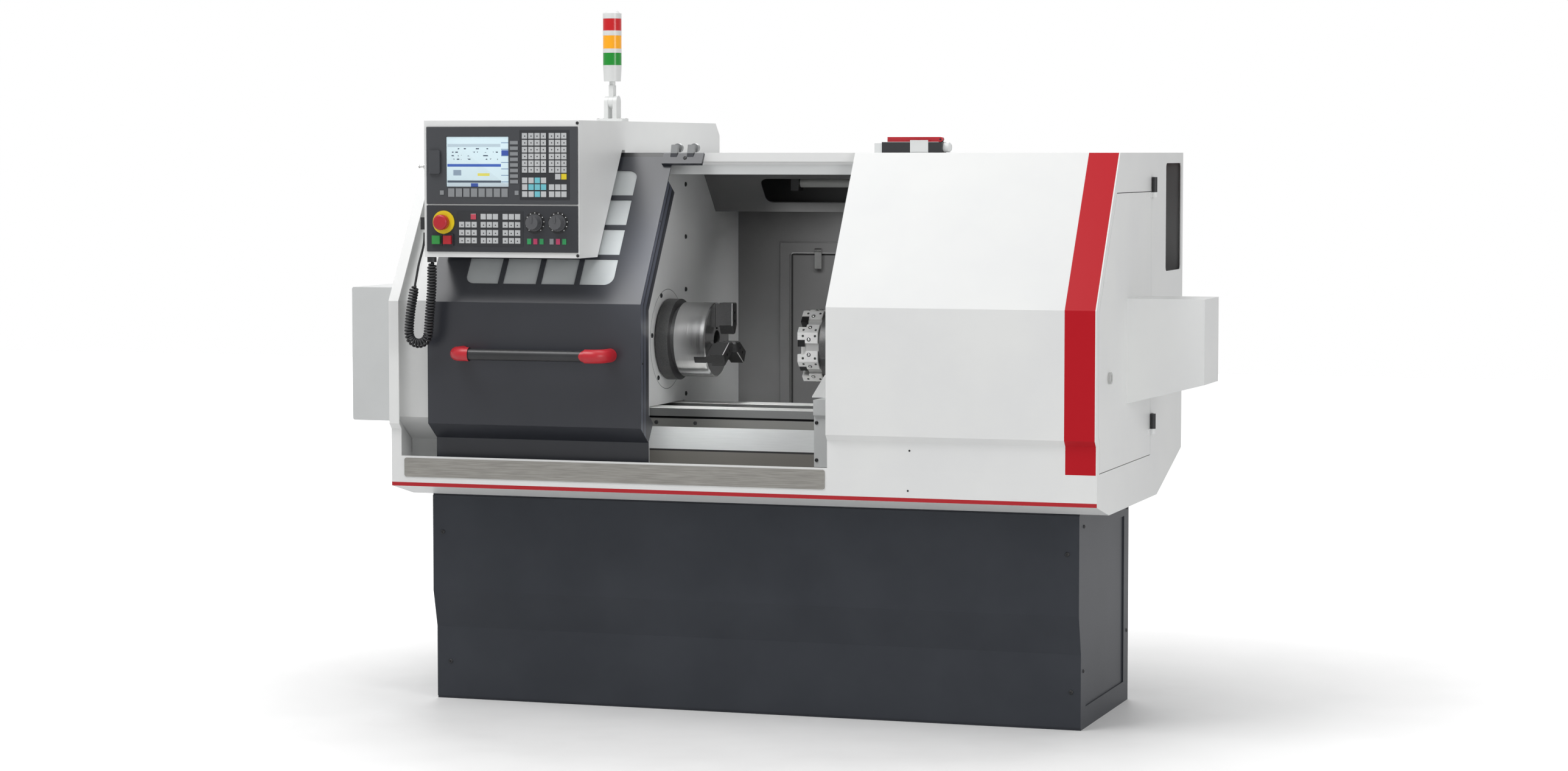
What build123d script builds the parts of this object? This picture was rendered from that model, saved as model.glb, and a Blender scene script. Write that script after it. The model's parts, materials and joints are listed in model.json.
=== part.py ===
"""CNC turning lathe with a full splash guard, in millimetres.

+X runs along the spindle towards the tailstock, +Y points to the back, +Z is up.
The origin is on the floor, under the middle of the machine.
"""
import math
import os

from build123d import *

# Overall sizes of the enclosure
left_x = -943.0
right_x = 968.0
left_box_length = 226.5
right_box_length = 201.5
back_y = 570.0
back_wall_y = 556.0
front_y = -472.0
roof_front_y = -216.0
sheet = 3.0
overrun = 5.0
running_gap = 0.3
seam_gap = 2.0

# Heights of the folds of the enclosure
base_top_z = 556.0
tray_top_z = 668.0
strip_z = 739.0
lower_crease_z = 754.0
crease_z = 1078.0
roof_z = 1468.0
strip_recess = 14.0

# Base stand and its bent front panel
base_left_x = -886.0
base_right_x = 892.0
base_back_y = 253.0
base_low_front_y = -296.0
base_high_front_y = -321.0
base_low_z = 195.0
base_high_z = 295.0
base_wall = 14.0
base_floor = 24.0
base_rib = 40.0
panel_foot = 6.0
panel_top_gap = 4.0
end_recess = 4.0
end_recess_margin = 55.0
anchor_hole = 22.0
anchor_x = 800.0
anchor_front_y = -230.0
anchor_back_y = 190.0

# Chip tray and the strip along its front
tray_wall = 4.0
tray_lip_z = 588.0
tray_back_z = 658.0
strip_left_x = -906.0
strip_right_x = 260.0
strip_low_z = 613.0
strip_high_z = 663.0
strip_thick = 2.0
strip_radius = 6.0

# Right-hand guard and the end walls
guard_left_x = 266.0
edge_flange = 40.0
end_flange = 25.0
access_front_y = 346.0
access_back_y = 546.0
access_low_z = 1150.0
access_high_z = 1440.0
access_radius = 12.0

# Roof with the door rail
rail_front_y = -204.0
rail_step = 8.0
rail_step_z = 1437.0
rail_lip = 18.0
rail_low_z = 1411.0

# Lamp panel under the roof, at the back
lamp_top_y = 211.0
lamp_low_y = 359.0
lamp_low_z = 1304.0
lamp_right_x = 700.0
lamp_window_x = -159.0
lamp_window_length = 560.0
lamp_window_height = 92.0
lamp_window_radius = 22.0
lamp_window_place_share = 0.63
lamp_tube = 26.0
lamp_tube_y = 326.0
lamp_tube_z = 1385.0
lamp_socket_length = 22.0
lamp_socket_width = 44.0

# Head cover behind the door
cover_depth = 44.0
cover_foot_y = -336.0
cover_foot_z = 704.0
cover_crease_z = 769.0
cover_top_z = 1400.0
inner_wall_x = -318.0
nose_hole = 190.0
bed_notch = 2.0
cover_foot_gap = 8.0
wall_hole = 120.0

# Sliding front door
door_left_x = -831.5
door_width = 598.0
door_low_y = -416.0
door_low_z = 655.0
door_recess_z = 716.0
door_fold_z = 757.0
door_return = 60.0
door_return_top_z = 1396.0
window_left_x = -737.5
window_width = 415.0
window_low_margin = 57.4
window_top_margin = 56.1
window_radius = 25.0
window_bar = 14.0
window_rows = 4
window_columns = 4
pane_thick = 4.0
pane_margin = 12.0

# Door handle and roller bracket
handle_bar = 30.0
handle_cap = 36.0
handle_left_x = -747.5
handle_length = 448.0
handle_cap_length = 63.0
handle_standoff = 65.0
handle_bend = 30.0
handle_z = 945.0
bracket_length = 112.0
bracket_lap = 24.0
bracket_low_z = 1434.0
bracket_high_z = 1463.0
bracket_thick = 10.0
bracket_gap = 1.0
roller = 24.0
roller_width = 14.0
roller_spread = 46.0
roller_inset = 30.0
axle = 9.0

# Back wall hatch and its toggle latch
hatch_left_x = -160.0
hatch_width = 540.0
hatch_low_z = 700.0
hatch_high_z = 1184.0
hatch_radius = 8.0
hatch_gap = 0.8
hatch_frame = 28.0
hatch_frame_depth = 12.0
hatch_hinge_barrel = 9.0
hatch_hinge_pin = 4.0
hatch_hinge_leaf = 24.0
hatch_leaf_thick = 2.5
hatch_hinge_height = 44.0
hatch_hinge_inset = 60.0
latch_x = -72.0
latch_width = 20.0
latch_length = 52.0
latch_thick = 7.0
latch_pivot_z = 1192.0
latch_barrel = 12.0

# Console housing, which runs back over the head
console_left_x = -809.5
console_right_x = -376.5
console_low_z = 1197.0
console_top_z = 1551.0
console_proud = 63.0
door_clearance = 14.0
overhang_z = 1475.0
head_back_y = 562.0
head_chamfer = 34.0

# Control unit and machine panel on the console's front
unit_width = 421.0
unit_left_x = -801.5
unit_low_z = 1335.6
unit_height = 199.0
panel_low_z = 1211.6
panel_height = 119.2
unit_proud = 4.0
unit_depth = 36.0
pocket_gap = 0.5
screen_left_share = 0.132
screen_width_share = 0.416
screen_low_share = 0.221
screen_height_share = 0.656
screen_depth = 3.0
key_mat_thick = 0.8
key_height = 1.4
key_size = 14.5
key_wide = 17.5
key_tall = 22.0
side_key_height = 9.0

# Places of the keys, as shares of the width and height of the unit or panel that they lie on
letter_column_shares = (0.656, 0.698, 0.739, 0.780)
number_column_shares = (0.833, 0.874, 0.914)
key_row_shares = (0.883, 0.795, 0.705, 0.617, 0.529, 0.445)
arrow_row_shares = (0.308, 0.221, 0.130)
corner_key_shares = ((0.874, 0.357), (0.914, 0.357))
low_row_shares = (0.221, 0.130)
side_key_share = 0.585
side_key_row_shares = (0.795, 0.723, 0.651, 0.579, 0.507, 0.435, 0.363, 0.291)
soft_key_first_share = 0.167
soft_key_step_share = 0.0507
soft_key_count = 8
soft_key_row_share = 0.146
end_key_shares = (0.104, 0.602)
flap_left_share = 0.021
flap_width_share = 0.075
flap_low_share = 0.390
flap_height_share = 0.309
flap_thick = 7.0
mode_column_shares = (0.236, 0.278, 0.319)
axis_column_shares = (0.380, 0.421, 0.461)
feed_column_shares = (0.526, 0.567, 0.608)
panel_row_shares = (0.766, 0.591, 0.416, 0.246)
mode_top_key_share = 0.314
small_key_shares = (0.683, 0.724, 0.765, 0.831, 0.873, 0.914)
small_key_row_share = 0.235
small_key = 11.0

# Emergency stop, start and stop buttons, rotary switches
estop_height = 35.0
estop_head = 40.0
estop_plate = 60.0
estop_plate_thick = 5.0
estop_neck = 24.0
estop_travel = 6.0
estop_share = (0.116, 0.640)
button_size = 22.0
button_height = 12.0
button_bezel = 30.0
button_bezel_height = 5.0
start_share = (0.071, 0.257)
stop_share = (0.146, 0.257)
knob_large = 44.0
knob_top = 34.0
knob_skirt = 6.0
knob_height = 24.0
knob_pointer = 4.0
feed_knob_share = (0.720, 0.640)
speed_knob_share = (0.873, 0.640)
stem = 10.0

# Signal tower
tower_x = -436.5
tower_y = -138.0
tower_foot_length = 76.0
tower_foot_width = 56.0
tower_foot_thick = 8.0
tower_foot_radius = 10.0
tower_pivot_z = 1603.0
tower_lug = 34.0
tower_lug_thick = 11.0
tower_knuckle_thick = 13.0
tower_pin = 10.0
tower_arm = 22.0
tower_neck = 16.0
tower_neck_z = 1648.0
tower_body_z = 1658.0
tower_body_low = 45.0
tower_diameter = 50.0
tower_body_height = 43.0
tower_lens_heights = (33.0, 35.0, 32.0)
tower_ring_heights = (11.0, 13.0, 20.0)
tower_core = 16.0
tower_dome = 6.0

# Curly cord at the console: outer diameter of the coil, lead, glands and the route by hand
coil_diameter = 21.0
lead_diameter = 6.0
gland_diameter = 24.0
clamp_width = 15.5
clamp_depth = 16.0
clamp_height = 32.0
cord_y = -518.0
coil_route = (
    (-797.0, 1183.0),
    (-797.0, 1128.0),
    (-801.0, 1078.0),
    (-806.0, 1032.0),
    (-808.5, 986.4),
    (-824.9, 970.0),
    (-848.1, 970.0),
    (-864.5, 986.4),
    (-862.0, 1030.0),
    (-855.0, 1078.0),
    (-846.0, 1121.0),
)
lead_route = (
    (-846.0, 1121.0),
    (-840.6, 1146.8),
    (-836.0, 1172.0),
    (-829.0, 1196.0),
    (-821.5, 1220.0),
    (-817.5, 1244.0),
    (-817.5, 1268.0),
)
arc_share = 0.45

# Spindle line
spindle_y = -38.0
spindle_z = 966.0
spindle_diameter = 90.0
spindle_bore = 52.0
spindle_rear_x = -1092.0
pulley_x = -890.0
pulley_width = 50.0
spindle_pulley = 200.0
cylinder_diameter = 150.0
cylinder_length = 96.0
nose_flange = 218.0
nose_flange_x = -313.0
nose_flange_length = 34.0
nose_neck = 176.0
chuck_x = -264.5
chuck_diameter = 200.0
chuck_length = 88.0
chuck_edge = 3.0

# Chuck jaws
jaw_count = 3
jaw_first_angle = 90.0
jaw_width = 36.0
jaw_length = 38.0
jaw_inner = 16.0
jaw_outer = 100.0
jaw_nose = 24.0
jaw_tip = 9.0
jaw_edge = 3.0
master_width = 22.0
master_length = 13.0
master_inner = 34.0
jaw_tongue = 18.0
jaw_tongue_depth = 34.0
jaw_bolt = 9.0
jaw_bolt_depth = 4.0
jaw_bolt_radii = (50.0, 73.0)
jaw_slot_gap = 0.4

# Headstock casting, bearings, motor and belt
head_left_x = -800.0
head_right_x = -345.0
head_wall = 24.0
head_shoulder = 60.0
bearing_outer = 160.0
bearing_width = 44.0
motor_y = 330.0
motor_z = 850.0
motor_diameter = 210.0
motor_length = 310.0
motor_flange = 236.0
motor_flange_thick = 22.0
motor_shaft = 48.0
motor_pulley_diameter = 130.0
motor_fin_count = 24
motor_fin_depth = 9.0
motor_fin_width = 8.0
bracket_plate = 24.0
bracket_plate_back_y = 455.0
bracket_plate_low_z = 722.0
bracket_plate_high_z = 978.0
belt_thick = 6.0
belt_margin = 3.0

# Bed and feed screw
bed_top_z = 790.0
bed_width = 280.0
bed_right_x = 900.0
way_width = 84.0
gully_z = 724.0
groove_low_z = 763.0
groove_high_z = 768.5
groove_depth = 7.0
feed_screw_diameter = 32.0
feed_screw_y = 140.0
feed_screw_z = 738.0
screw_block = 28.0
screw_block_width = 62.0
screw_end = 24.0

# Carriage, cross slide and turret
carriage_left_x = 158.0
carriage_length = 290.0
carriage_front_y = -235.0
carriage_back_y = 330.0
carriage_top_z = 824.0
apron_gap = 3.0
apron_low_z = 648.0
apron_lip_z = 784.0
apron_lip = 8.0
nut_block_length = 90.0
nut_block_back_y = 178.0
nut_block_low_z = 700.0
cross_inset = 10.0
cross_front_y = -165.0
cross_back_y = 300.0
cross_thick = 28.0
slant_foot_x = 128.0
slant_top_x = 163.0
slant_top_z = 884.0
slant_front_y = -150.0
slant_back_y = 10.0
turret_post_gap = 10.0
turret_y = 112.0
turret_z = 947.0
turret_x = 33.5
turret_length = 58.0
turret_flats = 190.0
turret_sides = 8
turret_gap = 0.8
valley_width = 21.0
valley_depth = 6.0
pocket_width = 39.0
pocket_length = 21.0
pocket_depth = 34.0
wedge_width = 18.5
wedge_inset = 2.0
turret_edge = 1.5
turret_hub = 60.0
turret_hub_depth = 6.0
turret_ring = 184.0
turret_post_length = 250.0
turret_post_width = 196.0
turret_post_chamfer = 40.0
turret_post_top_z = 1052.0

# Tailstock
tail_left_x = 640.0
tail_length = 210.0
tail_barrel = 150.0
tail_neck = 120.0
tail_foot_height = 56.0
quill_diameter = 70.0
quill_nose_x = 566.0
quill_length = 262.0
quill_taper_large = 31.0
quill_taper_small = 24.0
quill_taper_depth = 120.0
wheel_diameter = 190.0
wheel_rim = 18.0
wheel_hub = 40.0
wheel_spoke = 14.0
wheel_gap = 1.0
wheel_handle = 20.0
wheel_handle_length = 60.0

# End box of the spindle at the left
left_box_front_y = -221.0
left_box_back_y = 145.0
left_box_low_z = 740.0
left_box_high_z = 1103.0
left_box_radius = 10.0

# Side door with the clearance box, its hinges and lock
door_inset = 28.0
side_door_low_z = 671.0
side_door_high_z = 1365.0
hinge_y = 163.0
hinge_axis_out = 8.0
hinge_barrel = 14.0
hinge_pin = 6.0
hinge_leaf = 26.0
hinge_leaf_thick = 3.0
hinge_height = 54.0
hinge_low_z = 725.0
hinge_high_z = 1350.0
hinge_knuckle_share = 0.26
right_box_front_y = -127.0
right_box_back_y = 58.0
right_box_low_z = 825.0
right_box_rise = 51.0
right_box_high_z = 1095.0
lock_y = -331.0
lock_z = 903.0
lock_diameter = 30.0
lock_stem = 20.0
lock_head = 7.0
lock_cam_length = 46.0
lock_cam_width = 18.0
lock_cam_gap = 4.0

# Lubricator behind the access opening
lube_right_x = 948.0
lube_width = 84.0
lube_front_y = 366.0
lube_depth = 74.0
lube_low_z = 1168.0
lube_tank_height = 112.0
lube_head_height = 46.0
lube_head_inset = 8.0
lube_plate_thick = 6.0
lube_plate_margin = 16.0

# Block with a hand lever on the roof
valve_left_x = 262.0
valve_length = 186.0
valve_y = -10.0
valve_width = 42.0
valve_height = 28.0
valve_cap = 21.0
valve_cap_inset = 3.0
valve_plate_left_x = 361.5
valve_plate_length = 49.0
valve_plate_thick = 2.0
valve_plate_rise = 5.0
valve_knob = 26.0
valve_knob_length = 20.0
valve_knob_edge = 5.0
lever_length = 145.0
lever_thick = 12.8
lever_width = 16.0
lever_pivot_inset = 8.0
lever_pin = 5.0
lever_lug = 6.0
lever_gap = 0.6

# Places worked out from the sizes above
tray_front_y = front_y + strip_recess
tray_floor_z = base_top_z + tray_wall
door_right_x = door_left_x + door_width
console_front_y = front_y - console_proud
face_y = console_front_y - unit_proud
chuck_front_x = chuck_x + chuck_length
turret_back_x = turret_x + turret_length
carriage_right_x = carriage_left_x + carriage_length
lean_run = roof_front_y - front_y
lean_rise = roof_z - crease_z
lean_length = math.hypot(lean_run, lean_rise)
window_height = lean_length - window_low_margin - window_top_margin
window_low_z = crease_z + window_low_margin * lean_rise / lean_length
bed_front_y = spindle_y - bed_width / 2
bed_back_y = spindle_y + bed_width / 2
inner_roof_z = roof_z - sheet
inner_left_x = left_x + sheet
inner_right_x = right_x - sheet


# Small shape functions

def block(x0, x1, y0, y1, z0, z1):
    """A block between two corners."""
    centre = Pos((x0 + x1) / 2, (y0 + y1) / 2, (z0 + z1) / 2)
    return centre * Box(x1 - x0, y1 - y0, z1 - z0)


def rod_x(diameter, x0, x1, y, z):
    """A round bar along X."""
    return Pos((x0 + x1) / 2, y, z) * Rot(0, 90, 0) * Cylinder(diameter / 2, x1 - x0)


def rod_y(diameter, x, y0, y1, z):
    """A round bar along Y."""
    return Pos(x, (y0 + y1) / 2, z) * Rot(90, 0, 0) * Cylinder(diameter / 2, y1 - y0)


def rod_z(diameter, x, y, z0, z1):
    """A round bar along Z."""
    return Pos(x, y, (z0 + z1) / 2) * Cylinder(diameter / 2, z1 - z0)


def prism_x(outline, x0, x1):
    """An outline of (y, z) points drawn out along X."""
    face = Plane.YZ * make_face(Polyline(*outline, close=True))
    return extrude(Pos(x0, 0, 0) * face, x1 - x0, dir=(1, 0, 0))


def prism_y(outline, y0, y1):
    """An outline of (x, z) points drawn out along Y."""
    face = Plane.XZ * make_face(Polyline(*outline, close=True))
    return extrude(Pos(0, y0, 0) * face, y1 - y0, dir=(0, 1, 0))


def turned(outline, y, z):
    """An outline of (x, radius) points turned about the line along X through (y, z)."""
    face = Plane.XZ * make_face(Polyline(*outline, close=True))
    return Pos(0, y, z) * revolve(face, Axis.X)


def plate_y(x0, x1, z0, z1, radius, y0, y1):
    """A plate with rounded corners that faces the front."""
    place = Plane(((x0 + x1) / 2, y0, (z0 + z1) / 2), x_dir=(1, 0, 0), z_dir=(0, 1, 0))
    return extrude(place * RectangleRounded(x1 - x0, z1 - z0, radius), y1 - y0)


def moved(line, distance):
    """A line of (y, z) points moved to its right by a distance, with mitred corners."""
    steps = [Vector(b[0] - a[0], b[1] - a[1]).normalized() for a, b in zip(line, line[1:])]
    sides = [Vector(step.Y, -step.X) for step in steps]
    shifts = [sides[0] * distance]
    for before, after in zip(sides, sides[1:]):
        shifts.append((before + after) * (distance / (1 + before.dot(after))))
    shifts.append(sides[-1] * distance)
    return [(point[0] + shift.X, point[1] + shift.Y) for point, shift in zip(line, shifts)]


def folded(line, thick):
    """The closed outline of a bent sheet whose outer side is the given line."""
    return [*line, *reversed(moved(line, thick))]


def lean_y(z):
    """Y of the leaning front at a height."""
    return front_y + lean_run * (z - crease_z) / lean_rise


def front_line():
    """The folds of the enclosure's front, from the tray's rim up to the roof."""
    return [
        (tray_front_y, tray_top_z),
        (tray_front_y, strip_z),
        (front_y, lower_crease_z),
        (front_y, crease_z),
        (roof_front_y, roof_z),
    ]


def lean_plane(x, z):
    """A plane on the leaning front, with its y direction up the slope."""
    return Plane((x, lean_y(z), z), x_dir=(1, 0, 0), z_dir=(0, -lean_rise, lean_run))


# Base stand, tray and enclosure

def base_panel_line():
    """The folds of the base's front panel."""
    return [
        (base_low_front_y, 0),
        (base_low_front_y, base_low_z),
        (base_high_front_y, base_high_z),
        (base_high_front_y, base_top_z),
    ]


def make_base_frame():
    """Welded stand, open at the front behind its panel, with anchor holes in its floor."""
    outline = [*moved(base_panel_line(), sheet), (base_back_y, base_top_z), (base_back_y, 0)]
    frame = prism_x(outline, base_left_x, base_right_x)
    frame -= block(
        base_left_x + base_rib, base_right_x - base_rib,
        base_high_front_y - overrun, base_back_y - base_wall,
        base_floor, base_top_z - base_rib,
    )
    margin_y = base_low_front_y + end_recess_margin
    frame -= block(
        base_right_x - end_recess, base_right_x + overrun,
        margin_y, base_back_y - end_recess_margin,
        end_recess_margin, base_top_z - end_recess_margin,
    )
    for x in (-anchor_x, anchor_x):
        for y in (anchor_front_y, anchor_back_y):
            frame -= rod_z(anchor_hole, x, y, -overrun, base_floor + overrun)
    return frame


def make_base_front_panel():
    """One bent sheet across the whole front of the stand."""
    line = base_panel_line()
    line[0] = (base_low_front_y, panel_foot)
    line[-1] = (base_high_front_y, base_top_z - panel_top_gap)
    return prism_x(folded(line, sheet), base_left_x, base_right_x)


def make_chip_tray():
    """Folded pan with a sloped front and a back that rises to the rear wall."""
    line = [
        (back_y, tray_top_z),
        (back_y, tray_back_z),
        (base_back_y, base_top_z),
        (base_high_front_y, base_top_z),
        (tray_front_y, tray_lip_z),
        (tray_front_y, tray_top_z),
    ]
    pan = prism_x(folded(line, tray_wall), left_x, right_x)
    pan += prism_x(line, left_x, left_x + tray_wall)
    pan += prism_x(line, right_x - tray_wall, right_x)
    return pan


def make_tray_lip():
    """Stainless strip on the tray's front, under the door."""
    return plate_y(
        strip_left_x, strip_right_x, strip_low_z, strip_high_z, strip_radius,
        tray_front_y - strip_thick, tray_front_y,
    )


def make_right_guard():
    """Front and roof in one folded sheet, with a stiffening flange along its left edge."""
    line = [*front_line(), (back_y, roof_z)]
    guard = prism_x(folded(line, sheet), guard_left_x, inner_right_x)
    guard += prism_x(folded(front_line(), edge_flange), guard_left_x, guard_left_x + sheet)
    return guard


def end_outline():
    """The whole outline of the enclosure's end."""
    return [*front_line(), (back_y, roof_z), (back_y, tray_top_z)]


def side_door_outline():
    """The outline of the side door: the front's folds moved in, cut off level at the top."""
    line = moved(front_line(), door_inset)
    (y3, z3), (y4, z4) = line[3], line[4]
    top_y = y3 + (y4 - y3) * (side_door_high_z - z3) / (z4 - z3)
    return [
        (line[0][0], side_door_low_z),
        *line[1:4],
        (top_y, side_door_high_z),
        (hinge_y, side_door_high_z),
        (hinge_y, side_door_low_z),
    ]


def make_right_end_wall():
    """End plate with the openings for the side door and for the lubricator."""
    wall = prism_x(end_outline(), inner_right_x, right_x)
    hole = offset(make_face(Polyline(*side_door_outline(), close=True)), seam_gap, kind=Kind.INTERSECTION)
    place = Pos(inner_right_x - overrun, 0, 0)
    wall -= extrude(place * (Plane.YZ * hole), sheet + 2 * overrun, dir=(1, 0, 0))
    middle_y = (access_front_y + access_back_y) / 2
    middle_z = (access_low_z + access_high_z) / 2
    access = RectangleRounded(access_back_y - access_front_y, access_high_z - access_low_z, access_radius)
    cutter = Pos(inner_right_x - overrun, middle_y, middle_z) * (Plane.YZ * access)
    wall -= extrude(cutter, sheet + 2 * overrun, dir=(1, 0, 0))
    return wall


def make_left_end_wall():
    """End plate with a flange along its front and a hole for the spindle's rear end."""
    wall = prism_x(end_outline(), left_x, inner_left_x)
    wall += prism_x(folded(front_line(), sheet), inner_left_x, inner_left_x + end_flange)
    wall -= rod_x(wall_hole, left_x - overrun, inner_left_x + overrun, spindle_y, spindle_z)
    return wall


def hatch_axis():
    """X and Y of the hatch's hinge line, on the outer side of the rear wall."""
    return hatch_left_x + hatch_width, back_wall_y + sheet + running_gap + hatch_hinge_barrel / 2


def hatch_hinges():
    """Lowest Z of each of the hatch's two hinges."""
    return (hatch_low_z + hatch_hinge_inset, hatch_high_z - hatch_hinge_inset - hatch_hinge_height)


def make_back_panel():
    """Rear wall with a framed opening for the hatch."""
    hatch_right_x = hatch_left_x + hatch_width
    panel = block(
        inner_left_x, inner_right_x, back_wall_y, back_wall_y + sheet, tray_top_z, inner_roof_z
    )
    panel += block(
        hatch_left_x - hatch_frame, hatch_right_x + hatch_frame,
        back_wall_y - hatch_frame_depth, back_wall_y,
        hatch_low_z - hatch_frame, hatch_high_z + hatch_frame,
    )
    panel -= plate_y(
        hatch_left_x, hatch_right_x, hatch_low_z, hatch_high_z, hatch_radius,
        back_wall_y - hatch_frame_depth - overrun, back_wall_y + sheet + overrun,
    )
    axis_x, axis_y = hatch_axis()
    outer_y = back_wall_y + sheet
    near_x = axis_x + hatch_hinge_barrel / 2 + running_gap
    for low_z in hatch_hinges():
        split_z = low_z + hatch_hinge_height / 2 + running_gap
        top_z = low_z + hatch_hinge_height
        panel += block(near_x, axis_x + hatch_hinge_leaf, outer_y, outer_y + hatch_leaf_thick, low_z, top_z)
        panel += block(axis_x, near_x, outer_y, outer_y + hatch_leaf_thick, split_z, top_z)
        panel += rod_z(hatch_hinge_barrel, axis_x, axis_y, split_z, top_z)
        panel += rod_z(hatch_hinge_pin, axis_x, axis_y, low_z, split_z)
    return panel


def make_roof_panel():
    """Roof sheet whose front folds down into the rail that the door hangs on."""
    line = [
        (rail_front_y + rail_step + rail_lip, rail_low_z),
        (rail_front_y + rail_step, rail_low_z),
        (rail_front_y + rail_step, rail_step_z),
        (rail_front_y, rail_step_z + rail_step),
        (rail_front_y, roof_z),
        (back_y, roof_z),
    ]
    return prism_x(folded(line, sheet), inner_left_x, guard_left_x)


def make_lamp_panel():
    """Sloped panel under the roof with the window of the work light."""
    top_z = inner_roof_z - sheet
    line = [(back_wall_y, lamp_low_z), (lamp_low_y, lamp_low_z), (lamp_top_y, top_z)]
    panel = prism_x(folded(line, sheet), inner_wall_x, lamp_right_x)
    slope_y = lamp_top_y - lamp_low_y
    slope_z = top_z - lamp_low_z
    middle = Vector(
        lamp_window_x + lamp_window_length / 2,
        lamp_top_y - slope_y * lamp_window_place_share,
        top_z - slope_z * lamp_window_place_share,
    )
    place = Plane(middle, x_dir=(1, 0, 0), z_dir=(0, -slope_z, slope_y))
    window = RectangleRounded(lamp_window_length, lamp_window_height, lamp_window_radius)
    panel -= extrude(place * window, sheet + overrun, both=True)
    return panel


def make_work_light():
    """Tube light behind the window, held under the roof by a socket at each end."""
    right = lamp_window_x + lamp_window_length
    left = lamp_window_x + lamp_window_height
    light = rod_x(lamp_tube, left, right - lamp_window_height, lamp_tube_y, lamp_tube_z)
    for x in (lamp_window_x + lamp_window_height, right - lamp_window_height):
        light += block(
            x - lamp_socket_length / 2, x + lamp_socket_length / 2,
            lamp_tube_y - lamp_socket_width / 2, lamp_tube_y + lamp_socket_width / 2,
            lamp_tube_z - lamp_socket_width / 2, inner_roof_z,
        )
    return light


def make_headstock_cover():
    """Fixed sheet behind the door, bent round into the inner end wall at the chuck."""
    top_y = lean_y(cover_top_z) + cover_depth
    line = [
        (cover_foot_y, tray_floor_z + cover_foot_gap),
        (cover_foot_y, cover_foot_z),
        (front_y + cover_depth, cover_crease_z),
        (front_y + cover_depth, crease_z),
        (top_y, cover_top_z),
    ]
    cover = prism_x(folded(line, sheet), left_x + tray_wall, inner_wall_x)
    step_y = rail_front_y + rail_step + rail_lip + cover_foot_gap
    wall = [
        *line,
        (step_y, cover_top_z),
        (step_y, inner_roof_z),
        (back_wall_y, inner_roof_z),
        (back_wall_y, tray_top_z),
        (base_back_y, tray_floor_z + cover_foot_gap),
    ]
    cover += prism_x(wall, inner_wall_x - sheet, inner_wall_x)
    cover -= rod_x(nose_hole, inner_wall_x - sheet - overrun, inner_wall_x + overrun, spindle_y, spindle_z)
    cover -= block(
        inner_wall_x - sheet - overrun, inner_wall_x + overrun,
        bed_front_y - bed_notch, bed_back_y + bed_notch, 0, bed_top_z + bed_notch,
    )
    return cover


# Sliding front door

def door_line():
    """The folds of the sliding door, from its foot to its top edge."""
    return [
        (door_low_y, door_low_z),
        (door_low_y, door_recess_z),
        (front_y, door_fold_z),
        (front_y, crease_z),
        (roof_front_y, roof_z),
    ]


def window_plane():
    """The plane of the door's window, with its origin in the middle of the window."""
    middle_z = window_low_z + window_height * lean_rise / lean_length / 2
    return lean_plane(window_left_x + window_width / 2, middle_z)


def window_grid():
    """The window's openings: a rounded field less the bars that cross it."""
    field = RectangleRounded(window_width, window_height, window_radius)
    cell_width = (window_width + window_bar) / window_columns
    cell_height = (window_height + window_bar) / window_rows
    for i in range(1, window_columns):
        across = i * cell_width - (window_width + window_bar) / 2
        field -= Pos(across, 0) * Rectangle(window_bar, window_height)
    for i in range(1, window_rows):
        up = i * cell_height - (window_height + window_bar) / 2
        field -= Pos(0, up) * Rectangle(window_width, window_bar)
    return field


def make_front_door():
    """Bent sheet with a grid window in its leaning part and a return along its right edge."""
    door = prism_x(folded(door_line(), sheet), door_left_x, door_right_x)
    edge = door_line()[1:4]
    edge.append((lean_y(door_return_top_z), door_return_top_z))
    door += prism_x(folded(edge, door_return), door_right_x - sheet, door_right_x)
    door -= extrude(window_plane() * window_grid(), sheet + overrun, both=True)
    return door


def make_door_window():
    """Clear pane behind the grid."""
    pane = Rectangle(window_width + 2 * pane_margin, window_height + 2 * pane_margin)
    return extrude(window_plane().offset(-sheet) * pane, -pane_thick)


def make_door_handle():
    """Round bar with two bent end caps that stand it off the door."""
    right_x = handle_left_x + handle_length
    bar_y = front_y - handle_standoff
    solids = [
        rod_x(handle_bar, handle_left_x + handle_cap_length, right_x - handle_cap_length, bar_y, handle_z)
    ]
    for tip_x, start_x in (
        (handle_left_x + handle_cap / 2, handle_left_x + handle_cap_length),
        (right_x - handle_cap / 2, right_x - handle_cap_length),
    ):
        path = FilletPolyline(
            (start_x, bar_y, handle_z),
            (tip_x, bar_y, handle_z),
            (tip_x, front_y, handle_z),
            radius=handle_bend,
        )
        section = Plane((start_x, bar_y, handle_z), z_dir=(tip_x - start_x, 0, 0)) * Circle(handle_cap / 2)
        solids.append(sweep(section, path))
    return solids


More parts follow.
